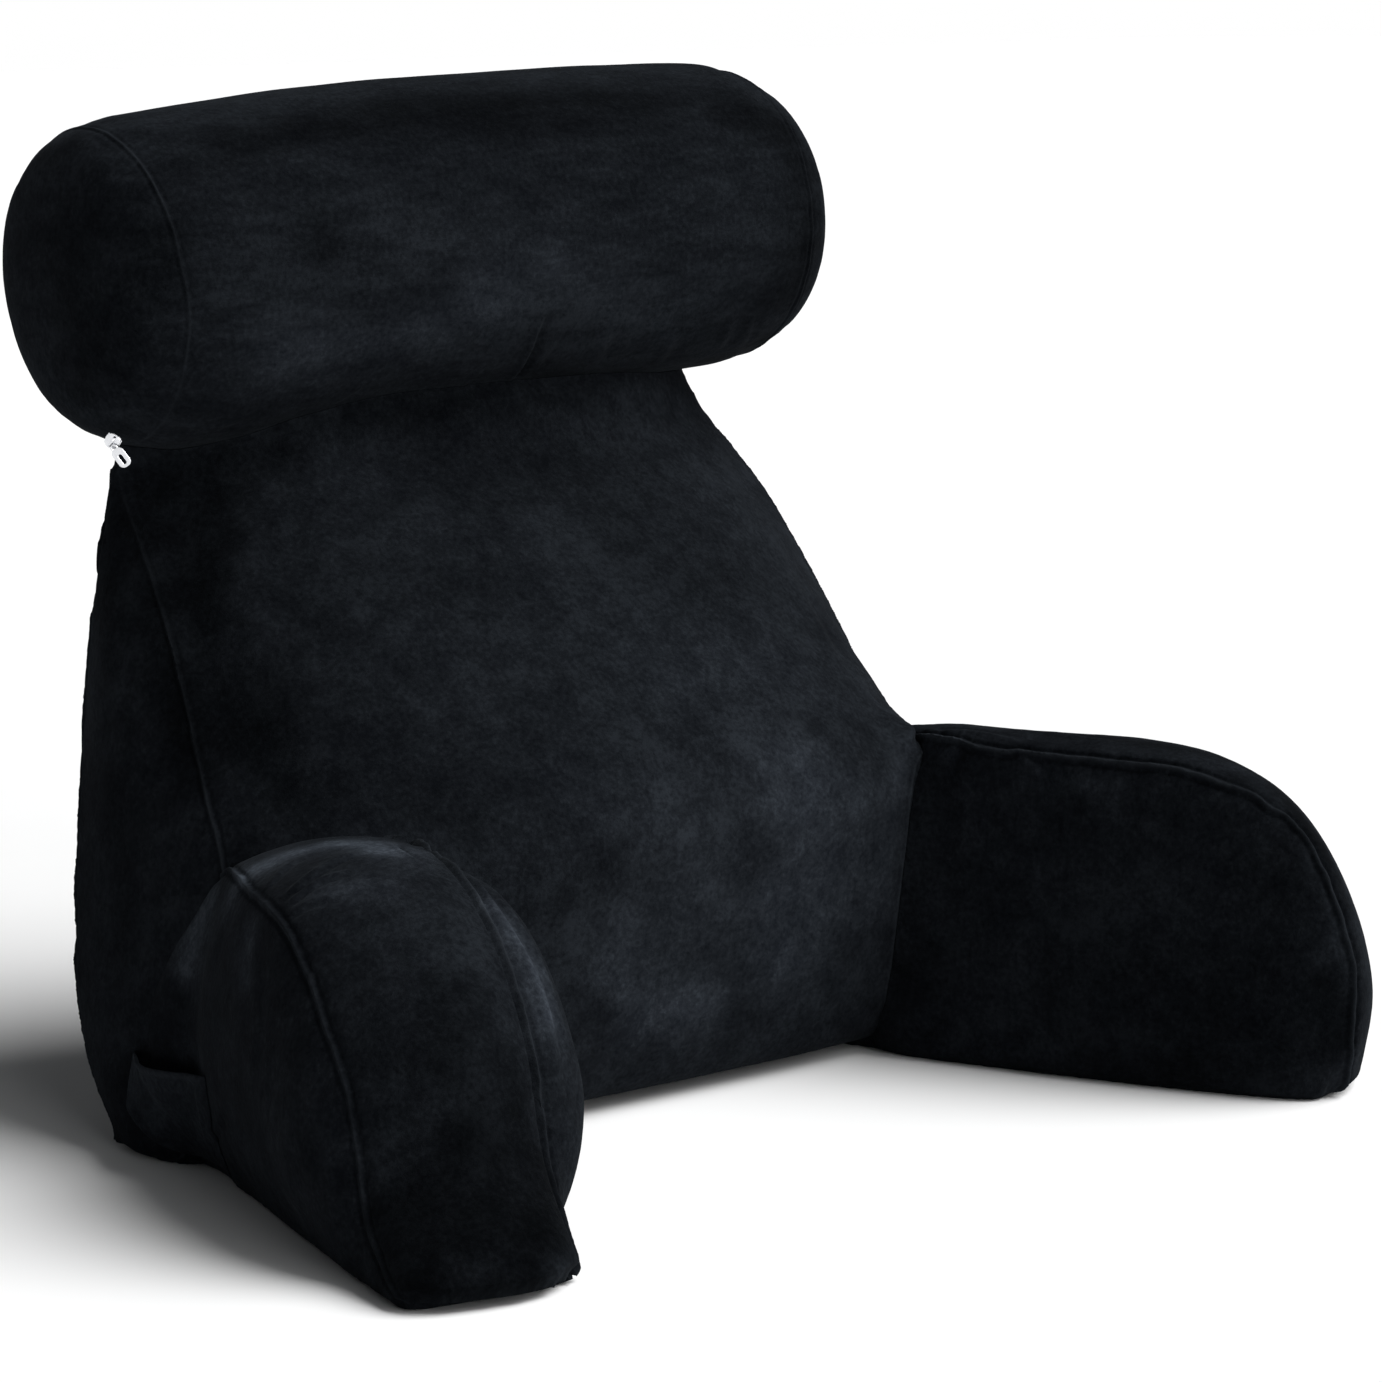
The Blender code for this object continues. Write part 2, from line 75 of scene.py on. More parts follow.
# z, y_front, crown_front, y_rear, crown_rear, roll_off, edge, draw_l, draw_r
WEDGE = (
    (0.000, 0.042, 0.042, 0.0980, 0.022, 4.0, 0.667, 0.000, 0.006),
    (0.006, 0.034, 0.057, 0.0985, 0.023, 4.0, 0.667, 0.001, 0.002),
    (0.014, 0.027, 0.0665, 0.1050, 0.024, 4.0, 0.667, 0.000, 0.000),
    (0.040, 0.016, 0.069, 0.1290, 0.027, 4.0, 0.667, 0.000, 0.000),
    (0.080, 0.010, 0.071, 0.152, 0.031, 4.0, 0.667, 0.000, 0.000),
    (0.130, 0.010, 0.079, 0.164, 0.034, 4.0, 0.667, 0.000, 0.002),
    (0.172, 0.020, 0.095, 0.169, 0.036, 4.0, 0.680, 0.000, 0.004),
    (0.215, 0.050, 0.106, 0.172, 0.036, 3.4, 0.860, 0.000, 0.007),
    (0.262, 0.078, 0.092, 0.174, 0.035, 3.0, 1.000, 0.000, 0.006),
    (0.308, 0.109, 0.082, 0.175, 0.034, 2.8, 1.000, 0.000, 0.005),
    (0.345, 0.138, 0.074, 0.175, 0.034, 2.6, 1.000, 0.000, 0.005),
    (0.380, 0.165, 0.062, 0.174, 0.036, 2.6, 1.000, 0.000, 0.008),
    (0.410, 0.168, 0.054, 0.173, 0.038, 2.6, 1.000, 0.000, 0.021),
    (0.450, 0.168, 0.036, 0.172, 0.030, 2.6, 1.000, 0.008, 0.032),
)
ROLL_CENTRE = Vector((0.001, 0.169, 0.5063)) + SHIFT
ROLL_YAW, ROLL_TILT = math.radians(-1.7), math.radians(2.2)
# axial, radius, sag
ROLL = (
    (-0.2660, 0.0120, 0.0050),
    (-0.2652, 0.0340, 0.0050),
    (-0.2625, 0.0560, 0.0048),
    (-0.2570, 0.0735, 0.0045),
    (-0.2470, 0.0860, 0.0040),
    (-0.2330, 0.0918, 0.0035),
    (-0.2100, 0.0945, 0.0028),
    (-0.1700, 0.0970, 0.0015),
    (-0.1000, 0.0990, 0.0000),
    (-0.0200, 0.0995, -0.0005),
    (0.0700, 0.0990, 0.0000),
    (0.1500, 0.0982, 0.0008),
    (0.2050, 0.0960, 0.0018),
    (0.2330, 0.0908, 0.0028),
    (0.2500, 0.0800, 0.0036),
    (0.2610, 0.0630, 0.0040),
    (0.2675, 0.0370, 0.0042),
    (0.2695, 0.0120, 0.0042),
)
# s_out, n_out, z_out, s_in, n_in, z_in, s_foot, n_foot, crown, swell_out, swell_in
ARM_LEFT_BASE, ARM_LEFT_SPLAY, ARM_LEFT_INNER_FOOT = (-0.1796, 0.0055), math.radians(16.8), 0.004
ARM_LEFT = (
    (-0.006, 0.1224, 0.004, -0.006, 0.040, 0.004, -0.006, 0.1200, 0.000, 0.000, 0.000),
    (-0.030, 0.1260, 0.038, -0.030, 0.040, 0.038, 0.000, 0.1130, 0.000, 0.010, 0.000),
    (-0.047, 0.1240, 0.066, -0.047, 0.030, 0.066, 0.008, 0.1065, 0.000, 0.014, 0.000),
    (-0.042, 0.1175, 0.100, -0.042, 0.020, 0.100, 0.018, 0.1025, 0.000, 0.018, 0.000),
    (-0.022, 0.1062, 0.132, -0.022, 0.010, 0.134, 0.032, 0.1010, 0.002, 0.020, 0.000),
    (0.014, 0.0885, 0.170, 0.006, -0.006, 0.176, 0.050, 0.1015, 0.006, 0.020, 0.006),
    (0.060, 0.0950, 0.175, 0.056, -0.006, 0.184, 0.072, 0.1040, 0.011, 0.020, 0.018),
    (0.104, 0.1005, 0.175, 0.104, -0.002, 0.186, 0.100, 0.1035, 0.014, 0.020, 0.028),
    (0.150, 0.1035, 0.172, 0.148, 0.000, 0.186, 0.134, 0.1035, 0.016, 0.020, 0.035),
    (0.184, 0.1035, 0.162, 0.184, 0.000, 0.174, 0.166, 0.1035, 0.019, 0.020, 0.039),
    (0.216, 0.1035, 0.140, 0.216, 0.000, 0.156, 0.198, 0.1035, 0.022, 0.020, 0.041),
    (0.244, 0.1035, 0.116, 0.242, 0.000, 0.129, 0.226, 0.1035, 0.024, 0.020, 0.041),
    (0.267, 0.1035, 0.090, 0.262, 0.000, 0.096, 0.252, 0.1035, 0.025, 0.020, 0.038),
    (0.281, 0.1035, 0.058, 0.272, 0.000, 0.062, 0.274, 0.1035, 0.027, 0.018, 0.030),
    (0.295, 0.1040, 0.030, 0.293, 0.000, 0.031, 0.292, 0.1035, 0.031, 0.010, 0.016),
    (0.336, 0.1030, 0.005, 0.323, -0.001, 0.005, 0.330, 0.1020, 0.030, 0.000, 0.000),
)
ARM_RIGHT_BASE, ARM_RIGHT_SPLAY, ARM_RIGHT_INNER_FOOT = (0.1786, -0.0357), math.radians(20.6), -0.016
ARM_RIGHT = (
    (-0.050, 0.1250, 0.004, -0.050, 0.040, 0.004, -0.050, 0.1250, 0.000, 0.000, 0.000),
    (-0.074, 0.1290, 0.038, -0.074, 0.040, 0.038, -0.044, 0.1215, 0.000, 0.010, 0.000),
    (-0.088, 0.1290, 0.066, -0.088, 0.030, 0.066, -0.034, 0.1165, 0.000, 0.014, 0.000),
    (-0.082, 0.1230, 0.100, -0.082, 0.020, 0.100, -0.020, 0.1110, 0.000, 0.018, 0.000),
    (-0.062, 0.1110, 0.132, -0.062, 0.010, 0.138, -0.004, 0.1060, 0.004, 0.020, 0.003),
    (-0.026, 0.0950, 0.170, -0.020, 0.007, 0.188, 0.016, 0.1020, 0.009, 0.020, 0.006),
    (0.024, 0.0930, 0.176, 0.026, 0.003, 0.200, 0.044, 0.0990, 0.012, 0.020, 0.006),
    (0.074, 0.0930, 0.178, 0.074, 0.001, 0.197, 0.080, 0.0970, 0.014, 0.020, 0.005),
    (0.118, 0.0920, 0.178, 0.120, 0.001, 0.194, 0.116, 0.0950, 0.015, 0.020, 0.006),
    (0.162, 0.0900, 0.176, 0.166, 0.000, 0.194, 0.150, 0.0930, 0.015, 0.020, 0.008),
    (0.200, 0.0880, 0.168, 0.212, 0.000, 0.190, 0.184, 0.0910, 0.015, 0.020, 0.010),
    (0.230, 0.0860, 0.152, 0.254, 0.000, 0.177, 0.214, 0.0880, 0.013, 0.018, 0.010),
    (0.251, 0.0840, 0.126, 0.286, 0.000, 0.151, 0.240, 0.0860, 0.012, 0.016, 0.010),
    (0.267, 0.0820, 0.095, 0.305, 0.000, 0.111, 0.262, 0.0840, 0.012, 0.013, 0.008),
    (0.279, 0.0830, 0.054, 0.312, 0.002, 0.060, 0.277, 0.0840, 0.012, 0.008, 0.004),
    (0.279, 0.0880, 0.005, 0.305, 0.008, 0.005, 0.278, 0.0880, 0.006, 0.000, 0.000),
)
# s, z_foot, z_mouth, gape of the pocket's strips, rear to front
POCKET = (
    (-0.028, 0.030, 0.0625, 0.00),
    (-0.016, 0.019, 0.0618, 0.34),
    (-0.002, 0.011, 0.0612, 0.70),
    (0.012, 0.008, 0.0614, 0.92),
    (0.028, 0.007, 0.0622, 0.86),
    (0.044, 0.007, 0.0635, 0.50),
    (0.057, 0.007, 0.0650, 0.20),
    (0.068, 0.007, 0.0660, 0.00),
)
POCKET_GAPE, POCKET_CLEAR, POCKET_THICK = 0.0150, 0.0012, 0.0018


def smooth_rows(rows, steps):
    """Catmull-Rom rows through a table, `steps` intervals between two rows."""
    out = []
    last = len(rows) - 1
    for i in range(last):
        a, b, c, d = rows[max(i - 1, 0)], rows[i], rows[i + 1], rows[min(i + 2, last)]
        for k in range(steps):
            t = k / steps
            t2, t3 = t * t, t * t * t
            out.append(tuple(0.5 * (2 * q + (r - p) * t + (2 * p - 5 * q + 4 * r - s) * t2
                                    + (3 * q - p - 3 * r + s) * t3)
                             for p, q, r, s in zip(a, b, c, d)))
    out.append(tuple(rows[last]))
    return out


# ------------------------------------------------------------------ fine source solids
def loft_object(name, rings):
    n = len(rings[0])
    verts = [tuple(p) for ring in rings for p in ring]
    faces = []
    for i in range(len(rings) - 1):
        for j in range(n):
            k = (j + 1) % n
            faces.append((i * n + j, i * n + k, (i + 1) * n + k, (i + 1) * n + j))
    for first, flip in ((0, True), ((len(rings) - 1) * n, False)):
        c = np.mean(np.array(verts[first:first + n]), axis=0)
        verts.append(tuple(c))
        for j in range(n):
            tri = (first + j, first + (j + 1) % n, len(verts) - 1)
            faces.append(tri[::-1] if flip else tri)
    mesh = bpy.data.meshes.new(name)
    mesh.from_pydata(verts, [], faces)
    bm = bmesh.new()
    bm.from_mesh(mesh)
    bmesh.ops.triangulate(bm, faces=bm.faces, quad_method="SHORT_EDGE")
    bmesh.ops.recalc_face_normals(bm, faces=bm.faces)
    if bm.calc_volume(signed=True) < 0:
        bmesh.ops.reverse_faces(bm, faces=bm.faces)
    bm.to_mesh(mesh)
    bm.free()
    obj = bpy.data.objects.new(name, mesh)
    bpy.context.scene.collection.objects.link(obj)
    return obj


def wedge_ring(row, front=60, side=12, rear=48):
    z, y_front, crown_front, y_rear, crown_rear, roll_off, edge, draw_l, draw_r = row
    half = SIDE_HALF_BASE - SIDE_TAPER * z
    left, right = half - draw_l, half - draw_r
    gusset = SIDE_CROWN * min(1.0, (y_rear - y_front) / 0.1)
    rear_left = left + 0.0045 * min(1.0, z / 0.05)
    ring = []
    for i in range(front):
        u = -math.cos(math.pi * i / front)
        swell = max(0.0, 1.0 - abs(u) ** roll_off) ** edge
        ring.append((u * (right if u > 0 else left), y_front - crown_front * swell, z))
    for i in range(side):
        w = i / side
        ring.append((right + gusset * math.sin(math.pi * w), y_front + (y_rear - y_front) * w, z))
    for i in range(rear):
        u = math.cos(math.pi * i / rear)
        swell = max(0.0, 1.0 - abs(u) ** 3.0) ** 0.75
        ring.append((u * (right if u > 0 else rear_left), y_rear + crown_rear * swell, z))
    for i in range(side):
        w = 1.0 - i / side
        ring.append((-left - (rear_left - left) * w - gusset * math.sin(math.pi * w),
                     y_front + (y_rear - y_front) * w, z))
    return [Vector(p) + SHIFT for p in ring]


ROLL_AX = Vector((math.cos(ROLL_YAW) * math.cos(ROLL_TILT),
                  math.sin(ROLL_YAW) * math.cos(ROLL_TILT), math.sin(ROLL_TILT)))
ROLL_AY = Vector((-math.sin(ROLL_YAW), math.cos(ROLL_YAW), 0.0))
ROLL_AZ = ROLL_AX.cross(ROLL_AY)


ROLL_HANG = ((-0.262, 0.0), (-0.247, 0.0008), (-0.236, 0.0045), (-0.222, 0.0085), (-0.200, 0.0100),
             (-0.168, 0.0090), (-0.137, 0.0042), (-0.100, 0.0015), (-0.060, 0.0))


def roll_rings(facets=96):
    rings = []
    for axial, radius, sag in smooth_rows(ROLL, 4):
        hang = float(np.interp(axial, [h[0] for h in ROLL_HANG], [h[1] for h in ROLL_HANG]))
        ring = []
        for i in range(facets):
            a = 2 * math.pi * i / facets
            off = (a - math.radians(248) + math.pi) % (2 * math.pi) - math.pi
            out = radius + hang * math.exp(-(off / 0.73) ** 2)
            ring.append(ROLL_CENTRE + ROLL_AX * axial - Vector((0, 0, sag))
                        + (ROLL_AY * math.cos(a) + ROLL_AZ * math.sin(a)) * out)
        rings.append(ring)
    return rings


def arm_frame(base, splay, side):
    origin = Vector((base[0], base[1], 0.0)) + SHIFT
    along = Vector((side * math.sin(splay), -math.cos(splay), 0.0))
    across = Vector((side * math.cos(splay), math.sin(splay), 0.0))
    return lambda s, n, z: origin + along * s + across * n + Vector((0, 0, z))


def crown_of(t):
    """Where along the arm its inner panel is fullest just under the seam."""
    return math.exp(-((t - 0.555) / 0.105) ** 2)


def arm_rings(table, place, inner_foot, steps=6, panel=16, boxing=20, foot=8, plump=0.0, toe=0.0):
    rows = smooth_rows(table, steps)
    rings = []
    last = len(rows) - 1
    for i, row in enumerate(rows):
        (s_out, n_out, z_out, s_in, n_in, z_in, s_foot, n_foot,
         crown, swell_out, swell_in) = row
        z_out, z_in = max(z_out, 0.003), max(z_in, 0.003)
        p, q = rows[max(i - 1, 0)], rows[min(i + 1, last)]
        ds, dz = q[0] + q[3] - p[0] - p[3], q[2] + q[5] - p[2] - p[5]
        size = math.hypot(ds, dz) or 1.0
        out_s, out_z = -dz / size, max(ds / size, 0.0)
        if i == last:
            out_s, out_z = 1.0, 0.0
        spread = math.sin(math.pi * min(1.0, max(0.0, (i - 4 * steps) / (last - 4 * steps)))) ** 0.6
        n_base = 0.004 + (inner_foot - 0.004) * spread
        ring = []
        lift = min(1.0, math.hypot(s_out - s_foot, z_out) / 0.13)
        for k in range(panel):
            w = k / panel
            bump = swell_out * lift * math.sin(math.pi * w) ** 0.8 if w > 0 else 0.0
            ring.append(place(s_foot + (s_out - s_foot) * w,
                              n_foot + (n_out - n_foot) * w + bump, z_out * w))
        for k in range(boxing):
            w = k / boxing
            rise = crown * (1.0 - (2 * w - 1) ** 2) ** (0.8 - toe * max(0.0, (i / last - 0.86) / 0.14))
            ring.append(place(s_out + (s_in - s_out) * w + out_s * rise,
                              n_out + (n_in - n_out) * w,
                              z_out + (z_in - z_out) * w + out_z * rise))
        s_foot_in = s_foot + (s_in - s_out) * 0.5
        lift = min(1.0, math.hypot(s_in - s_foot_in, z_in) / 0.13)
        for k in range(panel):
            w = 1.0 - k / panel
            bump = swell_in * lift * math.sin(math.pi * w) ** 0.5 if w < 1 else 0.0
            bump += plump * crown_of(i / last) * math.sin(math.pi * w ** 2.6) ** 0.6 if 0 < w < 1 else 0.0
            ring.append(place(s_foot_in + (s_in - s_foot_in) * w,
                              n_base + (n_in - n_base) * w - bump, z_in * w))
        for k in range(foot):
            w = k / foot
            ring.append(place(s_foot_in + (s_foot - s_foot_in) * w,
                              n_base + (n_foot - n_base) * w, 0.0))
        rings.append(ring)
    return rings


def seat_against(obj, other, gap=0.0004):
    """Presses obj flat where it meets `other`: cuts the neighbour, swollen by the gap, out of
    it, keeps the largest piece and makes the rim of the cut a sharp edge."""
    mesh = other.data.copy()
    set_co(mesh, get_co(mesh) + get_normals(mesh) * gap)
    cutter = bpy.data.objects.new("cutter", mesh)
    bpy.context.scene.collection.objects.link(cutter)
    for solver in ("MANIFOLD", "EXACT"):
        mod = obj.modifiers.new("seat", "BOOLEAN")
        mod.operation, mod.object, mod.solver = "DIFFERENCE", cutter, solver
        bpy.context.view_layer.update()
        done = bpy.data.meshes.new_from_object(
            obj.evaluated_get(bpy.context.evaluated_depsgraph_get()))
        obj.modifiers.clear()
        if len(done.vertices) > 1000 and len(done.vertices) != len(obj.data.vertices):
            break
        print("seat_against: the solver", solver, "left", obj.name, "uncut")
    obj.data = done
    bpy.data.objects.remove(cutter, do_unlink=True)
    bm = bmesh.new()
    bm.from_mesh(done)
    bm.verts.ensure_lookup_table()
    seen = np.full(len(bm.verts), -1)
    sizes = []
    for v in bm.verts:
        if seen[v.index] >= 0:
            continue
        stack, count = [v], 0
        seen[v.index] = len(sizes)
        while stack:
            w = stack.pop()
            count += 1
            for e in w.link_edges:
                o = e.other_vert(w)
                if seen[o.index] < 0:
                    seen[o.index] = len(sizes)
                    stack.append(o)
        sizes.append(count)
    if len(sizes) > 1:
        main = int(np.argmax(sizes))
        bmesh.ops.delete(bm, geom=[v for v in bm.verts if seen[v.index] != main], context="VERTS")
    bmesh.ops.dissolve_degenerate(bm, dist=0.00002, edges=bm.edges)
    bm.to_mesh(done)
    bm.free()
    done.shade_smooth()
    done.set_sharp_from_angle(angle=math.radians(62))
    return sizes


# ------------------------------------------------------------------ mesh helpers
def get_co(mesh):
    a = np.empty(len(mesh.vertices) * 3, np.float32)
    mesh.vertices.foreach_get("co", a)
    return a.reshape(-1, 3).astype(np.float64)


def set_co(mesh, co):
    mesh.vertices.foreach_set("co", co.astype(np.float32).ravel())
    mesh.update()


def get_normals(mesh):
    mesh.update()
    a = np.empty(len(mesh.vertices) * 3, np.float32)
    mesh.vertex_normals.foreach_get("vector", a)
    return a.reshape(-1, 3).astype(np.float64)


def edges_of(mesh):
    a = np.empty(len(mesh.edges) * 2, np.int32)
    mesh.edges.foreach_get("vertices", a)
    return a.reshape(-1, 2)


def relax(mesh, values, rounds, keep=None):
    """Averages an array over the mesh's edges; `keep` (0..1 per vertex) holds values back."""
    e = edges_of(mesh)
    n = len(mesh.vertices)
    count = np.bincount(e.ravel(), minlength=n).astype(float)
    count[count == 0] = 1
    v = np.array(values, float)
    flat = v.ndim == 1
    if flat:
        v = v[:, None]
    for _ in range(rounds):
        total = np.zeros_like(v)
        for c in range(v.shape[1]):
            total[:, c] = (np.bincount(e[:, 0], v[e[:, 1], c], n)
                           + np.bincount(e[:, 1], v[e[:, 0], c], n))
        mean = total / count[:, None]
        if keep is None:
            v = mean
        else:
            v = v * keep[:, None] + mean * (1 - keep[:, None])
    return v[:, 0] if flat else v


def lattice(i, j, k, seed):
    h = (i.astype(np.int64) * 73856093) ^ (j.astype(np.int64) * 19349663) ^ \
        (k.astype(np.int64) * 83492791) ^ (seed * 2654435761)
    h = (h ^ (h >> 13)) * 1274126177
    h = (h ^ (h >> 16)) & 0x7FFFFFFF
    return h.astype(np.float64) / 0x7FFFFFFF * 2 - 1


def noise3(p, size, seed=1):
    """Smooth value noise, -1..1, features about `size` metres (scalar or one per axis)."""
    q = p / np.array(size)
    b = np.floor(q)
    f = q - b
    f = f * f * f * (f * (f * 6 - 15) + 10)
    b = b.astype(np.int64)
    out = 0
    for di in (0, 1):
        for dj in (0, 1):
            for dk in (0, 1):
                w = ((f[:, 0] if di else 1 - f[:, 0]) * (f[:, 1] if dj else 1 - f[:, 1])
                     * (f[:, 2] if dk else 1 - f[:, 2]))
                out = out + w * lattice(b[:, 0] + di, b[:, 1] + dj, b[:, 2] + dk, seed)
    return out


def line_noise(s, size, seed):
    return noise3(np.stack([s, np.zeros_like(s), np.zeros_like(s)], 1), (size, 1, 1), seed)


def resample(points, step=0.001):
    p = np.array([tuple(q) for q in points], float)
    seg = np.linalg.norm(np.diff(p, axis=0), axis=1)
    s = np.concatenate([[0], np.cumsum(seg)])
    n = max(4, int(s[-1] / step))
    t = np.linspace(0, s[-1], n)
    return np.stack([np.interp(t, s, p[:, c]) for c in range(3)], 1), t


class Line:
    """A curve lying on a surface: nearest sample, arc length and signed offset."""

    def __init__(self, points, step=0.001):
        self.p, self.s = resample(points, step)
        if len(self.p) > 12:                             # take the kinks out
            k = np.ones(9) / 9
            pad = np.concatenate([np.repeat(self.p[:1], 4, 0), self.p, np.repeat(self.p[-1:], 4, 0)])
            self.p = np.stack([np.convolve(pad[:, c], k, "valid") for c in range(3)], 1)
        d = np.gradient(self.p, axis=0)
        self.t = d / np.maximum(np.linalg.norm(d, axis=1, keepdims=True), 1e-9)
        self.length = self.s[-1]
        self.tree = KDTree(len(self.p))
        for i, q in enumerate(self.p):
            self.tree.insert(q, i)
        self.tree.balance()

    def near(self, co, normals, reach):
        """Indices of vertices within reach, with arc length, signed offset and distance."""
        lo, hi = self.p.min(0) - reach, self.p.max(0) + reach
        idx = np.nonzero(((co > lo) & (co < hi)).all(1))[0]
        if len(idx) == 0:
            return idx, np.zeros(0), np.zeros(0), np.zeros(0)
        hit = np.array([self.tree.find(co[i])[1:] for i in idx], float)
        j, dist = hit[:, 0].astype(int), hit[:, 1]
        ok = dist < reach
        idx, j, dist = idx[ok], j[ok], dist[ok]
        away = co[idx] - self.p[j]
        t = self.t[j]
        s = self.s[j] + (away * t).sum(1)
        side = np.cross(normals[idx], t)
        side /= np.maximum(np.linalg.norm(side, axis=1, keepdims=True), 1e-9)
        return idx, s, (away * side).sum(1), dist


def tree_of(obj):
    return BVHTree.FromPolygons([v.co.copy() for v in obj.data.vertices],
                                [tuple(p.vertices) for p in obj.data.polygons])


def pixel_line(tree, pixels, steps=8):
    """A line drawn over the photograph's frame, laid on the surface under it."""
    pts = smooth_rows([(float(x), float(y)) for x, y in pixels], steps)
    out = []
    for x, y in pts:
        ray = pixel_ray(x, y)
        where = tree.ray_cast(CAM_AT, ray)[0]
        if where is None:                      # just past the outline: the nearest skin
            near = [tree.find_nearest(CAM_AT + ray * (2.0 + 0.02 * k)) for k in range(70)]
            near = min(near, key=lambda h: h[3])
            where = near[0] if near[3] < 0.012 else None
        if where is not None:
            out.append(where)
    return out


def snap(tree, points):
    return [tree.find_nearest(Vector(p))[0] for p in points]


# ------------------------------------------------------------------ stuffed cloth
def stuffed(name, source, seams, voxel, inset, cap, pressure=4.0, pull=0.10, calm=14,
            frames=20, stiff=12.0, bend=0.6, hold=0.50):
    """Remeshed copy of the source, a little smaller, blown up as cloth whose seams are held
    short. Its broad shape is then laid back on the source, so puckers and swell remain;
    `hold` is how much of them goes too, which is more at the seams and all at the foot."""
    mesh = source.data.copy()
    mesh.name = name
    obj = bpy.data.objects.new(name, mesh)
    bpy.context.scene.collection.objects.link(obj)
    mod = obj.modifiers.new("weave", "REMESH")
    mod.mode, mod.voxel_size, mod.adaptivity = "VOXEL", voxel, 0.0
    bpy.context.view_layer.update()
    done = bpy.data.meshes.new_from_object(
        obj.evaluated_get(bpy.context.evaluated_depsgraph_get()))
    obj.modifiers.clear()
    obj.data = done
    mesh = done
    co = get_co(mesh)
    co = co - get_normals(mesh) * inset
    set_co(mesh, co)
    start = co.copy()
    weight = np.zeros(len(co))
    for line in seams:
        idx, _, _, dist = line.near(co, get_normals(mesh), 0.02)
        weight[idx] = np.maximum(weight[idx], np.exp(-(dist / (1.3 * voxel)) ** 2))
    group = obj.vertex_groups.new(name="seams")
    for i in np.nonzero(weight > 0.02)[0]:
        group.add([int(i)], float(weight[i]), "REPLACE")
    cloth = obj.modifiers.new("blow", "CLOTH")
    cs = cloth.settings
    cs.quality = 5
    cs.mass = 0.3
    cs.tension_stiffness = cs.compression_stiffness = stiff
    cs.shear_stiffness = 0.5 * stiff
    cs.bending_stiffness = bend
    cs.tension_damping = cs.compression_damping = cs.shear_damping = 5
    cs.air_damping = 2
    cs.use_pressure = True
    cs.uniform_pressure_force = pressure
    cs.effector_weights.gravity = 0
    cs.vertex_group_shrink = "seams"
    cs.shrink_min, cs.shrink_max = 0.0, pull
    cloth.collision_settings.use_collision = False
    cloth.collision_settings.use_self_collision = False
    cloth.point_cache.frame_start, cloth.point_cache.frame_end = 1, frames
    scene = bpy.context.scene
    for f in range(1, frames + 1):
        scene.frame_set(f)
    ev = obj.evaluated_get(bpy.context.evaluated_depsgraph_get())
    moved = get_co(ev.data) - start
    obj.modifiers.clear()
    obj.vertex_groups.clear()
    scene.frame_set(1)
    size = np.linalg.norm(moved, axis=1)
    moved *= np.minimum(1.0, cap / np.maximum(size, 1e-9))[:, None]
    co = start + moved
    tree = tree_of(source)
    off = np.array([tree.find_nearest(Vector(p))[0] for p in co]) - co
    off = relax(mesh, off, calm)
    co = co + off
    co[:, 2] = np.maximum(co[:, 2], 0.0)
    set_co(mesh, co)
    mod = obj.modifiers.new("fine", "SUBSURF")
    mod.levels = mod.render_levels = 1
    bpy.context.view_layer.update()
    done = bpy.data.meshes.new_from_object(
        obj.evaluated_get(bpy.context.evaluated_depsgraph_get()))
    obj.modifiers.clear()
    obj.data = done
    co = get_co(done)
    normals = get_normals(done)
    grip = np.full(len(co), hold)
    for line in seams:
        idx, _, _, dist = line.near(co, normals, 0.03)
        grip[idx] = np.maximum(grip[idx], 0.85 * np.exp(-(dist / 0.012) ** 2))
    grip = np.maximum(grip, np.clip(1.0 - (co[:, 2] - 0.006) / 0.034, 0.0, 1.0))
    there = np.array([tree.find_nearest(Vector(p))[0] for p in co])
    co += grip[:, None] * (there - co)
    set_co(done, co)
    return obj


def refine(obj, lines, reach, longest):
    """Halves the edges near the lines, so that a seam has a mesh fine enough to show."""
    mesh = obj.data
    co = get_co(mesh)
    nor = get_normals(mesh)
    near = np.zeros(len(co), bool)
    for line in lines:
        idx = line.near(co, nor, reach)[0]
        near[idx] = True
    bm = bmesh.new()
    bm.from_mesh(mesh)
    bm.verts.ensure_lookup_table()
    edges = [e for e in bm.edges
             if near[e.verts[0].index] and near[e.verts[1].index] and e.calc_length() > longest]
    bmesh.ops.subdivide_edges(bm, edges=edges, cuts=1, use_grid_fill=True)
    big = [f for f in bm.faces if len(f.verts) > 4]
    bmesh.ops.triangulate(bm, faces=big)
    bm.to_mesh(mesh)
    bm.free()


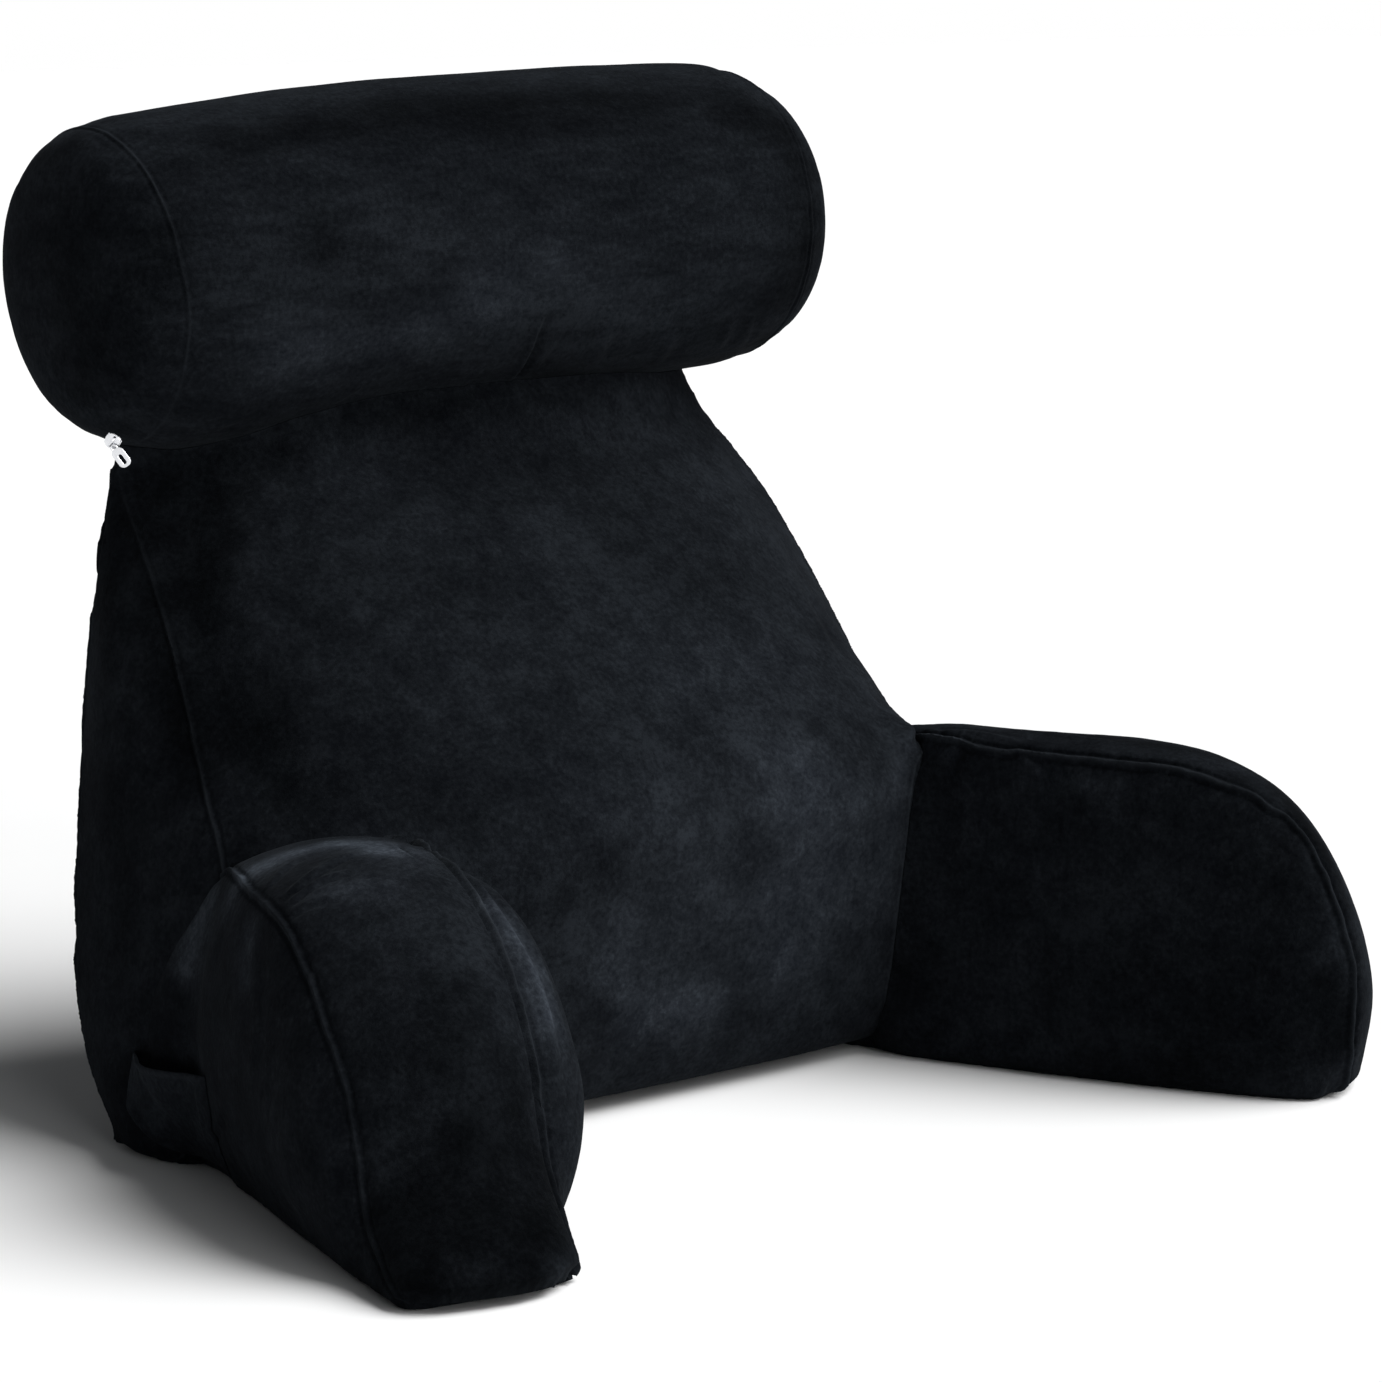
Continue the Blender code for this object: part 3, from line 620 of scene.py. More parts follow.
class Relief:
    """Collects what the surface of one cushion moves by, along its normals."""

    def __init__(self, obj):
        self.obj = obj
        self.co = get_co(obj.data)
        self.n = relax(obj.data, get_normals(obj.data), 3)
        self.n /= np.maximum(np.linalg.norm(self.n, axis=1, keepdims=True), 1e-9)
        self.h = np.zeros(len(self.co))
        self.free = np.zeros((len(self.co), 3))
        self.crest = np.zeros(len(self.co))
        # per-point paler (+) or darker (-) pile: pile direction, painted light and painted shade
        self.nap_and_shade = np.zeros(len(self.co))

    def brush(self, line, amount, width, ends=(0.2, 0.2)):
        """Pile paler (+) or darker (-) in a soft ragged band along a line: partly the pile lying another way,
        partly painted light and painted shade.
        """
        idx, s, d, dist = line.near(self.co, self.n, 2.6 * width)
        if len(idx) == 0:
            return
        t = np.clip(s / line.length, 0, 1)
        taper = np.clip(t / ends[0], 0, 1) * np.clip((1 - t) / ends[1], 0, 1)
        rag = 1 + 0.25 * noise3(self.co[idx], 0.030, 71) + 0.15 * noise3(self.co[idx], 0.012, 72)
        self.nap_and_shade[idx] += amount * taper * rag * np.exp(-(d / width) ** 2)

    def seam(self, line, height, width=0.0022, groove=(0.0016, 0.0016), at=0.0050, wide=0.0022,
             pucker=0.0010, every=0.011, reach=0.020, seed=1, fade=(0.0, 0.0), crest=1.0, wander=1.0,
             power=((0.0, 1.0), (1.0, 1.0))):
        """A turned seam: a low wavy ridge, a stitched-in groove on each side, small puckers, and a painted
        highlight along the ridge's top.
        """
        idx, s, d, dist = line.near(self.co, self.n, max(3 * reach, 0.03))
        if len(idx) == 0:
            return
        e = d - wander * (0.0008 * line_noise(s, 0.030, seed) + 0.0004 * line_noise(s, 0.011, seed + 1))
        ends = np.interp(s / line.length, [q[0] for q in power], [q[1] for q in power])
        for gap, t in ((fade[0], s), (fade[1], line.length - s)):
            if gap:
                ends *= np.clip(t / gap, 0, 1)
        top = height * (1 + 0.20 * line_noise(s, 0.016, seed + 2) + 0.14 * line_noise(s, 0.007, seed + 3))
        ridge = np.exp(-np.abs(e / width) ** 2.6)
        plus = groove[0] * (1 + 0.3 * line_noise(s, 0.022, seed + 4)) * np.exp(-((e - at) / wide) ** 2)
        minus = groove[1] * (1 + 0.3 * line_noise(s, 0.022, seed + 5)) * np.exp(-((e + at) / wide) ** 2)
        side = np.where(e > 0, 11.0, 37.0)
        q = np.stack([s + 0.25 * np.abs(e), side, e * 0.20], 1)
        v = noise3(q, (every, 1.0, 0.02), seed + 6)
        # the finer the further in, as gathers are
        v2 = noise3(q, (every * 0.5, 1.0, 0.02), seed + 7)
        along = np.clip(0.55 + 0.75 * line_noise(s, 0.055, seed + 8), 0.1, 1.3)
        pk = pucker * along * ((-np.exp(-(v / 0.30) ** 2) + 0.45) * np.exp(-np.abs(e) / reach)
                               + 0.35 * v2 * np.exp(-np.abs(e) / (0.5 * reach)))
        pk *= 1 - np.exp(-(e / (1.6 * width)) ** 2)
        self.h[idx] += ends * (top * ridge - plus - minus + pk)
        thin = np.exp(-np.abs(e / (0.8 * width)) ** 2.6) * (1 + 0.25 * line_noise(s, 0.019, seed + 9))
        # painted highlight along the ridge's top, kept in the crest attribute
        self.crest[idx] = np.maximum(self.crest[idx], crest * ends * thin)

    def fold(self, line, height, width, trough=0.0, beside=None, ends=(0.25, 0.35), crest=0.0):
        """A ridge (height > 0) or a crease (height < 0) along a line, with a trough beside it."""
        beside = 1.8 * width if beside is None else beside
        idx, s, d, dist = line.near(self.co, self.n, 3.5 * width + abs(beside))
        if len(idx) == 0:
            return
        t = np.clip(s / line.length, 0, 1)
        a = np.clip(t / ends[0], 0, 1)
        b = np.clip((1 - t) / ends[1], 0, 1)
        taper = a * a * (3 - 2 * a) * b * b * (3 - 2 * b)
        prof = height * np.exp(-(d / width) ** 2) - trough * np.exp(-((d - beside) / (0.8 * width)) ** 2)
        self.h[idx] += taper * prof
        # a painted highlight along the fold's top
        if crest:
            self.crest[idx] = np.maximum(self.crest[idx], crest * taper * np.exp(-(d / width) ** 2))

    def bump(self, at, radii, height, turn=0.0):
        """A soft dome (or dent) round a point."""
        q = self.co - np.array(at)
        c, s = math.cos(turn), math.sin(turn)
        q = np.stack([q[:, 0] * c + q[:, 1] * s, -q[:, 0] * s + q[:, 1] * c, q[:, 2]], 1)
        r = ((q / np.array(radii)) ** 2).sum(1)
        self.h += height * np.exp(-r)

    def tug(self, at, radius, move):
        """Pulls the cloth round a point bodily, as at a pinched corner."""
        r = np.linalg.norm(self.co - np.array(at), axis=1) / radius
        self.free += np.exp(-r ** 2)[:, None] * np.array(move)

    def waves(self, amount, sizes, seed, mask=None):
        v = np.zeros(len(self.co))
        for k, size in enumerate(sizes):
            v += noise3(self.co, size, seed + k) / (k + 1)
        self.h += amount * v * (1 if mask is None else mask)

    def finish(self):
        low = np.clip(self.co[:, 2] / 0.004, 0, 1)      # nothing moves where it stands
        side = np.abs(self.n[:, 2]) < 0.9
        self.h *= np.where(side, np.maximum(low, 0.5), low)
        co = self.co + self.n * self.h[:, None] + self.free
        co[:, 2] = np.maximum(co[:, 2], 0.0)
        set_co(self.obj.data, co)
        # crest holds a painted highlight; the second attribute holds pile direction with painted light and painted
        # shade
        att = self.obj.data.attributes.new("crest", "FLOAT", "POINT")
        att.data.foreach_set("value", self.crest.astype(np.float32))
        att = self.obj.data.attributes.new("nap_and_shade", "FLOAT", "POINT")
        att.data.foreach_set("value", np.clip(self.nap_and_shade, -1.6, 1.6).astype(np.float32))


# ------------------------------------------------------------------ the four cushions
ROLL_SRC = loft_object("roll_source", roll_rings())
BACK_RINGS = [wedge_ring(r) for r in smooth_rows(WEDGE, 5)]
BACK_SRC = loft_object("back_source", BACK_RINGS)
PLACE_L = arm_frame(ARM_LEFT_BASE, ARM_LEFT_SPLAY, -1)
PLACE_R = arm_frame(ARM_RIGHT_BASE, ARM_RIGHT_SPLAY, 1)
RINGS_L = arm_rings(ARM_LEFT, PLACE_L, ARM_LEFT_INNER_FOOT, plump=0.010, toe=0.30)
RINGS_R = arm_rings(ARM_RIGHT, PLACE_R, ARM_RIGHT_INNER_FOOT)
ARML_SRC = loft_object("arm_left_source", RINGS_L)
ARMR_SRC = loft_object("arm_right_source", RINGS_R)
ROLL_TREE, BACK_TREE = tree_of(ROLL_SRC), tree_of(BACK_SRC)
ARML_TREE, ARMR_TREE = tree_of(ARML_SRC), tree_of(ARMR_SRC)


def roll_seam(end):
    """The ring where the roll's round end panel is sewn in; it leans a little at the left end."""
    pts = []
    for k in range(97):
        a = 2 * math.pi * k / 96
        if end < 0:
            axial, radius = -0.2338 - 0.0042 * math.sin(a), 0.0912
        else:
            axial, radius = 0.2300 + 0.0020 * math.sin(a), 0.0918
        pts.append(ROLL_CENTRE + ROLL_AX * axial - Vector((0, 0, 0.0034))
                   + (ROLL_AY * math.cos(a) + ROLL_AZ * math.sin(a)) * radius)
    return Line(snap(ROLL_TREE, pts))


PANEL, BOXING = 16, 20
SEAM_ROLL_L, SEAM_ROLL_R = roll_seam(-1), roll_seam(1)
SEAM_BACK = [Line([ring[i] for ring in BACK_RINGS]) for i in (0, 60, 72, 120)]
SEAM_L_OUT = Line([ring[PANEL] for ring in RINGS_L[18:]])
SEAM_L_IN = Line([ring[PANEL + BOXING] for ring in RINGS_L[18:]])
SEAM_R_OUT = Line([ring[PANEL] for ring in RINGS_R[18:]])
SEAM_R_IN = Line([ring[PANEL + BOXING] for ring in RINGS_R[18:]])


def stroke(tree, *pixels):
    points = pixel_line(tree, pixels)
    if len(points) < 6:
        raise ValueError("a fold's line misses its cushion: %s" % (pixels,))
    return Line(points)


def brushed_pile_and_shade(relief, tree, rows):
    """Soft areas, paler or darker, partly where the pile lies another way and partly painted light and painted
    shade: amount (+ paler, - darker), width, a line.
    """
    for amount, width, *pixels in rows:
        relief.brush(stroke(tree, *pixels), amount, width)


# ---- neck roll
roll = stuffed("neck_roll_plush", ROLL_SRC, [SEAM_ROLL_L, SEAM_ROLL_R], 0.0058, 0.0015, 0.006,
               pull=0.08)
ROLL_FOLDS = [
    # line, height, width, trough, beside
    (stroke(ROLL_TREE, (506, 384), (514, 374), (523, 362), (532, 343), (538, 326), (546, 305)),
     0.0022, 0.0035, 0.0030, -0.0042),
    (stroke(ROLL_TREE, (462, 388), (470, 380), (479, 372), (489, 363)), 0.0011, 0.003, 0.0014, -0.0035),
    (stroke(ROLL_TREE, (530, 372), (545, 352), (553, 336)), 0.0010, 0.005, 0.0010, -0.006),
    (stroke(ROLL_TREE, (592, 366), (603, 345), (614, 326)), 0.0011, 0.006, 0.0011, -0.007),
    (stroke(ROLL_TREE, (655, 366), (668, 348), (676, 330)), 0.0010, 0.006, 0.0010, -0.007),
    (stroke(ROLL_TREE, (716, 352), (727, 336), (731, 316)), 0.0011, 0.004, 0.0011, -0.005),
    (stroke(ROLL_TREE, (738, 349), (748, 332), (752, 312)), 0.0010, 0.004, 0.0010, -0.005),
    (stroke(ROLL_TREE, (330, 404), (352, 392), (371, 378)), 0.0008, 0.005, 0.0008, -0.006),
    (stroke(ROLL_TREE, (213, 431), (236, 420), (262, 414)), 0.0008, 0.005, 0.0008, -0.006),
    (stroke(ROLL_TREE, (150, 205), (210, 178), (280, 160), (350, 148)), 0.0009, 0.007, 0.0007, 0.010),
    (stroke(ROLL_TREE, (190, 150), (260, 134), (330, 124)), 0.0008, 0.008, 0.0, 0.0),
]
refine(roll, [SEAM_ROLL_L, SEAM_ROLL_R, ROLL_FOLDS[0][0]], 0.010, 0.0016)
refine(roll, [SEAM_ROLL_L, SEAM_ROLL_R], 0.006, 0.0010)
r = Relief(roll)
r.waves(0.0007, (0.075, 0.038), 11)
for k, (line, height, width, trough, beside) in enumerate(ROLL_FOLDS):
    r.fold(line, height, width, trough, beside)
# Paler and darker pile, partly its lie and partly painted light and painted shade: darker along the roll's top and
# round its ends, painted shade under the roll where it rests on the back, paler on its lower front where the light
# falls.
brushed_pile_and_shade(r, ROLL_TREE, (
    (-0.70, 0.018, (120, 185), (200, 152), (300, 128), (430, 110), (600, 100), (760, 110)),
    (-0.25, 0.014, (440, 136), (560, 132), (670, 136)),
    (-0.80, 0.024, (700, 110), (760, 118), (796, 150), (812, 200), (806, 265), (778, 320)),
    (-0.50, 0.015, (158, 215), (170, 268), (177, 322)),
    (-0.25, 0.012, (316, 198), (325, 238), (318, 276)),
    (-0.25, 0.034, (115, 200), (200, 240), (300, 250), (380, 205)),
    (-0.35, 0.034, (60, 180), (66, 260), (88, 350), (125, 410)),
    (0.72, 0.026, (205, 384), (268, 354), (350, 346), (440, 322), (520, 280), (590, 262)),
    (0.36, 0.026, (520, 240), (590, 280), (640, 305), (712, 318)),
    (-0.85, 0.009, (515, 372), (590, 377), (655, 372)),
    (-0.50, 0.007, (690, 364), (740, 352), (776, 332)),
))
r.seam(SEAM_ROLL_L, 0.0007, 0.0010, (0.0005, 0.0005), 0.0024, 0.0013, 0.0004, 0.012, 0.012, 21, crest=0.8,
       power=((0.0, 0.6), (0.15, 0.7), (0.3, 1.0), (0.42, 1.0), (0.52, 0.55), (0.62, 0.35), (0.8, 0.5),
              (1.0, 0.6)))
r.seam(SEAM_ROLL_R, 0.0006, 0.0010, (0.0004, 0.0004), 0.0024, 0.0013, 0.0004, 0.012, 0.012, 31, crest=0.3)
r.finish()

# ---- back
back = stuffed("back_plush", BACK_SRC, SEAM_BACK, 0.0080, 0.0020, 0.008, pull=0.06)
JUNCTION_R = stroke(BACK_TREE, (919, 728), (914, 768), (909, 804), (905, 840), (900, 876), (896, 912),
                    (892, 949), (887, 985), (882, 1021), (879, 1043))
BACK_FOLDS = [
    (stroke(BACK_TREE, (905, 712), (901, 728), (896, 744), (884, 758), (868, 770)), 0.0020, 0.0045,
     0.0026, 0.0060),
    (stroke(BACK_TREE, (340, 424), (353, 416), (367, 422), (390, 420)), 0.0014, 0.003, 0.0016, 0.0036),
    (stroke(BACK_TREE, (262, 446), (276, 432), (300, 428)), 0.0012, 0.004, 0.0010, 0.005),
    (stroke(BACK_TREE, (430, 412), (462, 402), (500, 404)), 0.0012, 0.004, 0.0010, 0.005),
    (stroke(BACK_TREE, (540, 398), (590, 392), (640, 398)), 0.0012, 0.005, 0.0010, 0.006),
    (stroke(BACK_TREE, (200, 470), (215, 520), (236, 590), (262, 660)), -0.0010, 0.014, 0.0, 0.0),
    (stroke(BACK_TREE, (300, 560), (360, 575), (430, 572)), 0.0008, 0.010, 0.0, 0.0),
    (stroke(BACK_TREE, (330, 640), (420, 655), (520, 640)), 0.0008, 0.012, 0.0, 0.0),
    (stroke(BACK_TREE, (600, 760), (660, 700), (700, 640)), 0.0008, 0.014, 0.0, 0.0),
    (stroke(BACK_TREE, (780, 560), (815, 620), (850, 690)), 0.0010, 0.008, 0.0008, 0.012),
    (stroke(BACK_TREE, (870, 900), (850, 960), (840, 1020)), 0.0012, 0.010, 0.0, 0.0),
    (stroke(BACK_TREE, (139, 553), (124, 562), (112, 571)), -0.0009, 0.0024, -0.0004, 0.005),
    (stroke(BACK_TREE, (237, 462), (239, 540), (249, 610), (270, 685), (304, 752), (350, 806)), 0.0045, 0.019,
     0.0045, -0.034),
]
refine(back, SEAM_BACK + [JUNCTION_R] + [f[0] for f in BACK_FOLDS[:2]], 0.012, 0.0030)
refine(back, SEAM_BACK + [JUNCTION_R, BACK_FOLDS[0][0]], 0.0065, 0.0014)
r = Relief(back)
r.waves(0.0012, (0.16, 0.080, 0.042), 41)
for line, height, width, trough, beside in BACK_FOLDS:
    r.fold(line, height, width, trough, beside)
# Paler and darker pile, partly its lie and partly painted light and painted shade: painted shade down the left
# side that turns from the light, a painted shadow under the roll and beside the left arm, paler on the right where
# the light falls.
brushed_pile_and_shade(r, BACK_TREE, (
    (-1.05, 0.020, (150, 455), (158, 540), (172, 650), (196, 730), (236, 800)),
    (-0.70, 0.020, (214, 448), (218, 505), (206, 575), (200, 650)),
    (-0.60, 0.014, (122, 474), (200, 468), (262, 454), (335, 440)),
    (-0.40, 0.022, (268, 655), (272, 720), (290, 790), (360, 815)),
    (-0.30, 0.034, (320, 455), (450, 462), (600, 470), (700, 495)),
    (-0.45, 0.012, (280, 436), (400, 412), (520, 400), (590, 392), (645, 396)),
    (-0.30, 0.030, (620, 480), (640, 550), (720, 580), (790, 600)),
    (-0.20, 0.026, (330, 560), (430, 580), (520, 620)),
    (0.20, 0.012, (325, 480), (360, 478), (385, 495)),
    (0.95, 0.040, (800, 720), (800, 850), (775, 960), (748, 1015)),
    (0.42, 0.028, (852, 760), (862, 850), (864, 940)),
    (0.30, 0.022, (740, 590), (792, 655), (835, 725)),
    (0.30, 0.030, (600, 880), (640, 960), (740, 1000)),
    (0.50, 0.012, (903, 735), (904, 765), (900, 800)),
    (-0.30, 0.038, (250, 470), (292, 560), (300, 660), (262, 770)),
    (-0.25, 0.020, (370, 805), (430, 812), (500, 850)),
    (0.45, 0.014, (898, 770), (893, 850), (884, 930)),
    (0.60, 0.020, (596, 1020), (670, 1018), (745, 1000)),
    (0.40, 0.022, (602, 900), (612, 960), (610, 1010)),
    (0.40, 0.032, (620, 690), (720, 660), (800, 690)),
    (0.40, 0.032, (620, 790), (690, 860), (700, 960)),
    (0.30, 0.020, (530, 750), (590, 800), (610, 850)),
    (-0.35, 0.018, (108, 740), (122, 850), (112, 980)),
    (-0.35, 0.018, (106, 480), (106, 600), (108, 700)),
))
for k, line in enumerate(SEAM_BACK):
    r.seam(line, 0.0008, 0.0011, (0.0005, 0.0006), 0.0027, 0.0014, 0.0005, 0.016, 0.018, 51 + 10 * k,
           crest=0.85, power=((0.0, 1.0), (0.62, 1.0), (0.78, 0.55), (1.0, 0.45)))
r.seam(JUNCTION_R, 0.0006, 0.0012, (0.0003, 0.0003), 0.0030, 0.0016, 0.0004, 0.015, 0.014, 95, crest=0.4)
# the back is drawn forward where the right arm's top seam joins it, and pinched at its rear foot
r.tug(Vector((0.2175, -0.0070, 0.1885)), 0.027, BACKWARD * 0.024)
r.tug(Vector((0.2135, -0.0037, 0.2000)), 0.016, (0.0054, -0.0045, 0.0))
r.tug(Vector((-0.2870, 0.1260, 0.0010)), 0.007, (-0.0035, 0.0020, 0.0))
r.finish()
print("back seated:", seat_against(back, roll))

# ---- left arm
arm_l = stuffed("arm_left_plush", ARML_SRC, [SEAM_L_OUT, SEAM_L_IN], 0.0044, 0.0015, 0.007, pull=0.10,
                hold=0.72)
AL = stroke
ARML_FOLDS = [
    (AL(ARML_TREE, (279, 903), (291, 893), (305, 881), (322, 869), (345, 857), (374, 849)),
     0.0017, 0.0038, 0.0014, -0.0052),
    (AL(ARML_TREE, (283, 908), (297, 896), (314, 884), (334, 876), (362, 870)), 0.0013, 0.0032,
     0.0012, -0.0046),
    (AL(ARML_TREE, (286, 915), (304, 905), (324, 898), (352, 894)), 0.0010, 0.0032, 0.0009, -0.0046),
    (AL(ARML_TREE, (263, 893), (272, 882), (288, 866), (316, 852)), 0.0009, 0.0032, 0.0009, -0.0045),
    (AL(ARML_TREE, (298, 941), (311, 931), (330, 922)), 0.0007, 0.0026, 0.0006, -0.0036),
    (AL(ARML_TREE, (304, 955), (317, 947), (334, 939)), 0.0006, 0.0026, 0.0005, -0.0036),
    (AL(ARML_TREE, (309, 968), (320, 961), (333, 955)), 0.0005, 0.0026, 0.0004, -0.0036),
    (AL(ARML_TREE, (252, 922), (254, 980), (253, 1050), (252, 1100), (256, 1138)), 0.0005, 0.0060,
     0.0004, 0.0110),
    (AL(ARML_TREE, (226, 1112), (219, 1122), (211, 1138)), 0.0012, 0.0035, 0.0008, 0.0050),
    (AL(ARML_TREE, (462, 866), (480, 890), (498, 916), (515, 945), (530, 975), (541, 1004), (549, 1036),
        (556, 1076), (561, 1118)), 0.0026, 0.0042, 0.0014, 0.0080),
    (AL(ARML_TREE, (500, 898), (520, 926), (538, 958), (551, 992)), 0.0012, 0.0036, 0.0010, 0.0060),
    (AL(ARML_TREE, (388, 838), (397, 832), (407, 832), (417, 840), (428, 851), (441, 858), (456, 864)),
     0.0030, 0.0034, 0.0018, 0.0058),
    (AL(ARML_TREE, (396, 845), (408, 852), (424, 861), (440, 866)), -0.0022, 0.0022, -0.0010, -0.0045),
]
refine(arm_l, [SEAM_L_OUT, SEAM_L_IN] + [f[0] for f in ARML_FOLDS[:7]]
       + [f[0] for f in ARML_FOLDS[9:]], 0.010, 0.0018)
refine(arm_l, [SEAM_L_OUT, SEAM_L_IN], 0.0065, 0.0010)
r = Relief(arm_l)
r.waves(0.0009, (0.070, 0.036), 111)
for line, height, width, trough, beside in ARML_FOLDS:
    r.fold(line, height, width, trough, beside, ends=(0.18, 0.35))
# Paler and darker pile, partly its lie and partly painted light and painted shade: paler on the top and the inner
# bulge where the light falls, darker towards the foot as painted shade.
brushed_pile_and_shade(r, ARML_TREE, (
    (1.45, 0.022, (225, 886), (300, 852), (370, 846), (445, 870)),
    (0.75, 0.016, (290, 902), (350, 886), (415, 892)),
    (1.05, 0.022, (222, 888), (196, 940), (182, 1000)),
    (0.75, 0.018, (252, 905), (244, 960), (240, 1010)),
    (1.30, 0.012, (476, 886), (505, 925), (530, 965), (548, 1015), (560, 1065)),
    (-0.60, 0.022, (462, 960), (452, 1030), (430, 1100)),
    (-1.00, 0.030, (440, 1110), (480, 1175), (505, 1230), (515, 1270)),
    (-0.90, 0.026, (392, 1170), (425, 1235), (455, 1285)),
    (-0.80, 0.018, (545, 1150), (550, 1210), (548, 1260)),
    (-0.90, 0.014, (400, 1294), (480, 1288), (562, 1262)),
    (-0.30, 0.012, (315, 985), (350, 982), (388, 988)),
    (-0.40, 0.013, (234, 1085), (256, 1125), (266, 1165)),
    (-0.50, 0.018, (505, 1030), (515, 1100), (522, 1180)),
    (-0.35, 0.022, (395, 1100), (450, 1110), (485, 1130)),
    (0.35, 0.013, (312, 1040), (322, 1110), (338, 1190)),
))
r.seam(SEAM_L_OUT, 0.0011, 0.0012, (0.0008, 0.0009), 0.0030, 0.0015, 0.0008, 0.010, 0.010, 121, crest=0.35)
r.seam(SEAM_L_IN, 0.0022, 0.0020, (0.0009, 0.0028), 0.0043, 0.0017, 0.0007, 0.011, 0.011, 131, crest=0.6)
# the filling pushes the foot of the front forward
r.tug(Vector((-0.3500, -0.2530, 0.0)), 0.032, (-0.0061, -0.0074, 0.0))
r.tug(Vector((-0.3000, -0.2710, 0.0)), 0.032, (-0.0061, -0.0074, 0.0))
r.finish()
print("left arm seated:", seat_against(arm_l, back))

# ---- right arm
arm_r = stuffed("arm_right_plush", ARMR_SRC, [SEAM_R_OUT, SEAM_R_IN], 0.0044, 0.0015, 0.007, pull=0.10,
                hold=0.72)
ARMR_FOLDS = [
    (AL(ARMR_TREE, (930, 733), (960, 731), (1000, 737), (1030, 745)), 0.0014, 0.0035, 0.0012, 0.0050),
    (AL(ARMR_TREE, (1000, 729), (1040, 733), (1080, 738), (1120, 742)), 0.0014, 0.0040, 0.0012, 0.0060),
    (AL(ARMR_TREE, (1012, 752), (1030, 764), (1044, 784)), 0.0012, 0.0035, 0.0010, 0.0045),
    (AL(ARMR_TREE, (1075, 764), (1084, 790), (1088, 824)), 0.0009, 0.0050, 0.0, 0.0),
    (AL(ARMR_TREE, (1140, 775), (1146, 806), (1146, 846)), 0.0009, 0.0050, 0.0, 0.0),
    (AL(ARMR_TREE, (960, 760), (962, 820), (950, 900)), 0.0010, 0.0080, 0.0, 0.0),
    (AL(ARMR_TREE, (1310, 850), (1290, 874), (1268, 892)), 0.0009, 0.0050, 0.0, 0.0),
    (AL(ARMR_TREE, (1338, 930), (1312, 946), (1290, 956)), 0.0009, 0.0050, 0.0, 0.0),
]
refine(arm_r, [SEAM_R_OUT, SEAM_R_IN] + [f[0] for f in ARMR_FOLDS[:3]], 0.010, 0.0018)
refine(arm_r, [SEAM_R_OUT, SEAM_R_IN], 0.0065, 0.0010)
r = Relief(arm_r)
r.waves(0.0009, (0.070, 0.036), 211)
for line, height, width, trough, beside in ARMR_FOLDS:
    r.fold(line, height, width, trough, beside, ends=(0.2, 0.4))
# Paler and darker pile, partly its lie and partly painted light and painted shade: darker over the inner panel and
# towards the foot, a painted highlight where the top meets the back.
brushed_pile_and_shade(r, ARMR_TREE, (
    (-0.70, 0.008, (985, 728), (1150, 743), (1250, 770), (1318, 838), (1352, 925), (1362, 1020)),
    (-0.50, 0.012, (1215, 768), (1280, 802), (1322, 856)),
    (-0.35, 0.040, (1010, 970), (1110, 990), (1250, 1010), (1330, 1020)),
    (-0.45, 0.014, (1060, 1060), (1200, 1070), (1340, 1062)),
    (-0.60, 0.018, (1318, 960), (1336, 1010), (1340, 1066)),
    (-0.10, 0.030, (945, 800), (945, 880), (940, 960), (930, 1040)),
    (-0.25, 0.026, (1230, 900), (1270, 895), (1310, 930)),
    (0.90, 0.013, (918, 738), (940, 746), (964, 752)),
    (0.40, 0.010, (1000, 772), (1070, 780), (1150, 796)),
))
r.seam(SEAM_R_OUT, 0.0010, 0.0014, (0.0008, 0.0008), 0.0033, 0.0016, 0.0008, 0.012, 0.012, 221)
r.seam(SEAM_R_IN, 0.0017, 0.0016, (0.0016, 0.0011), 0.0037, 0.0017, 0.0013, 0.012, 0.013, 231, wander=2.2)
r.tug(Vector((0.1930, -0.0270, 0.1960)), 0.024, BACKWARD * -0.020)
r.finish()
print("right arm seated:", seat_against(arm_r, back))

for src in (ROLL_SRC, BACK_SRC, ARML_SRC, ARMR_SRC):
    bpy.data.objects.remove(src, do_unlink=True)


# ------------------------------------------------------------------ open side pocket
def new_object(name, verts, faces):
    mesh = bpy.data.meshes.new(name)
    mesh.from_pydata([tuple(v) for v in verts], [], faces)
    bm = bmesh.new()
    bm.from_mesh(mesh)
    bmesh.ops.recalc_face_normals(bm, faces=bm.faces)
    bm.to_mesh(mesh)
    bm.free()
    mesh.shade_smooth()
    obj = bpy.data.objects.new(name, mesh)
    bpy.context.scene.collection.objects.link(obj)
    return obj


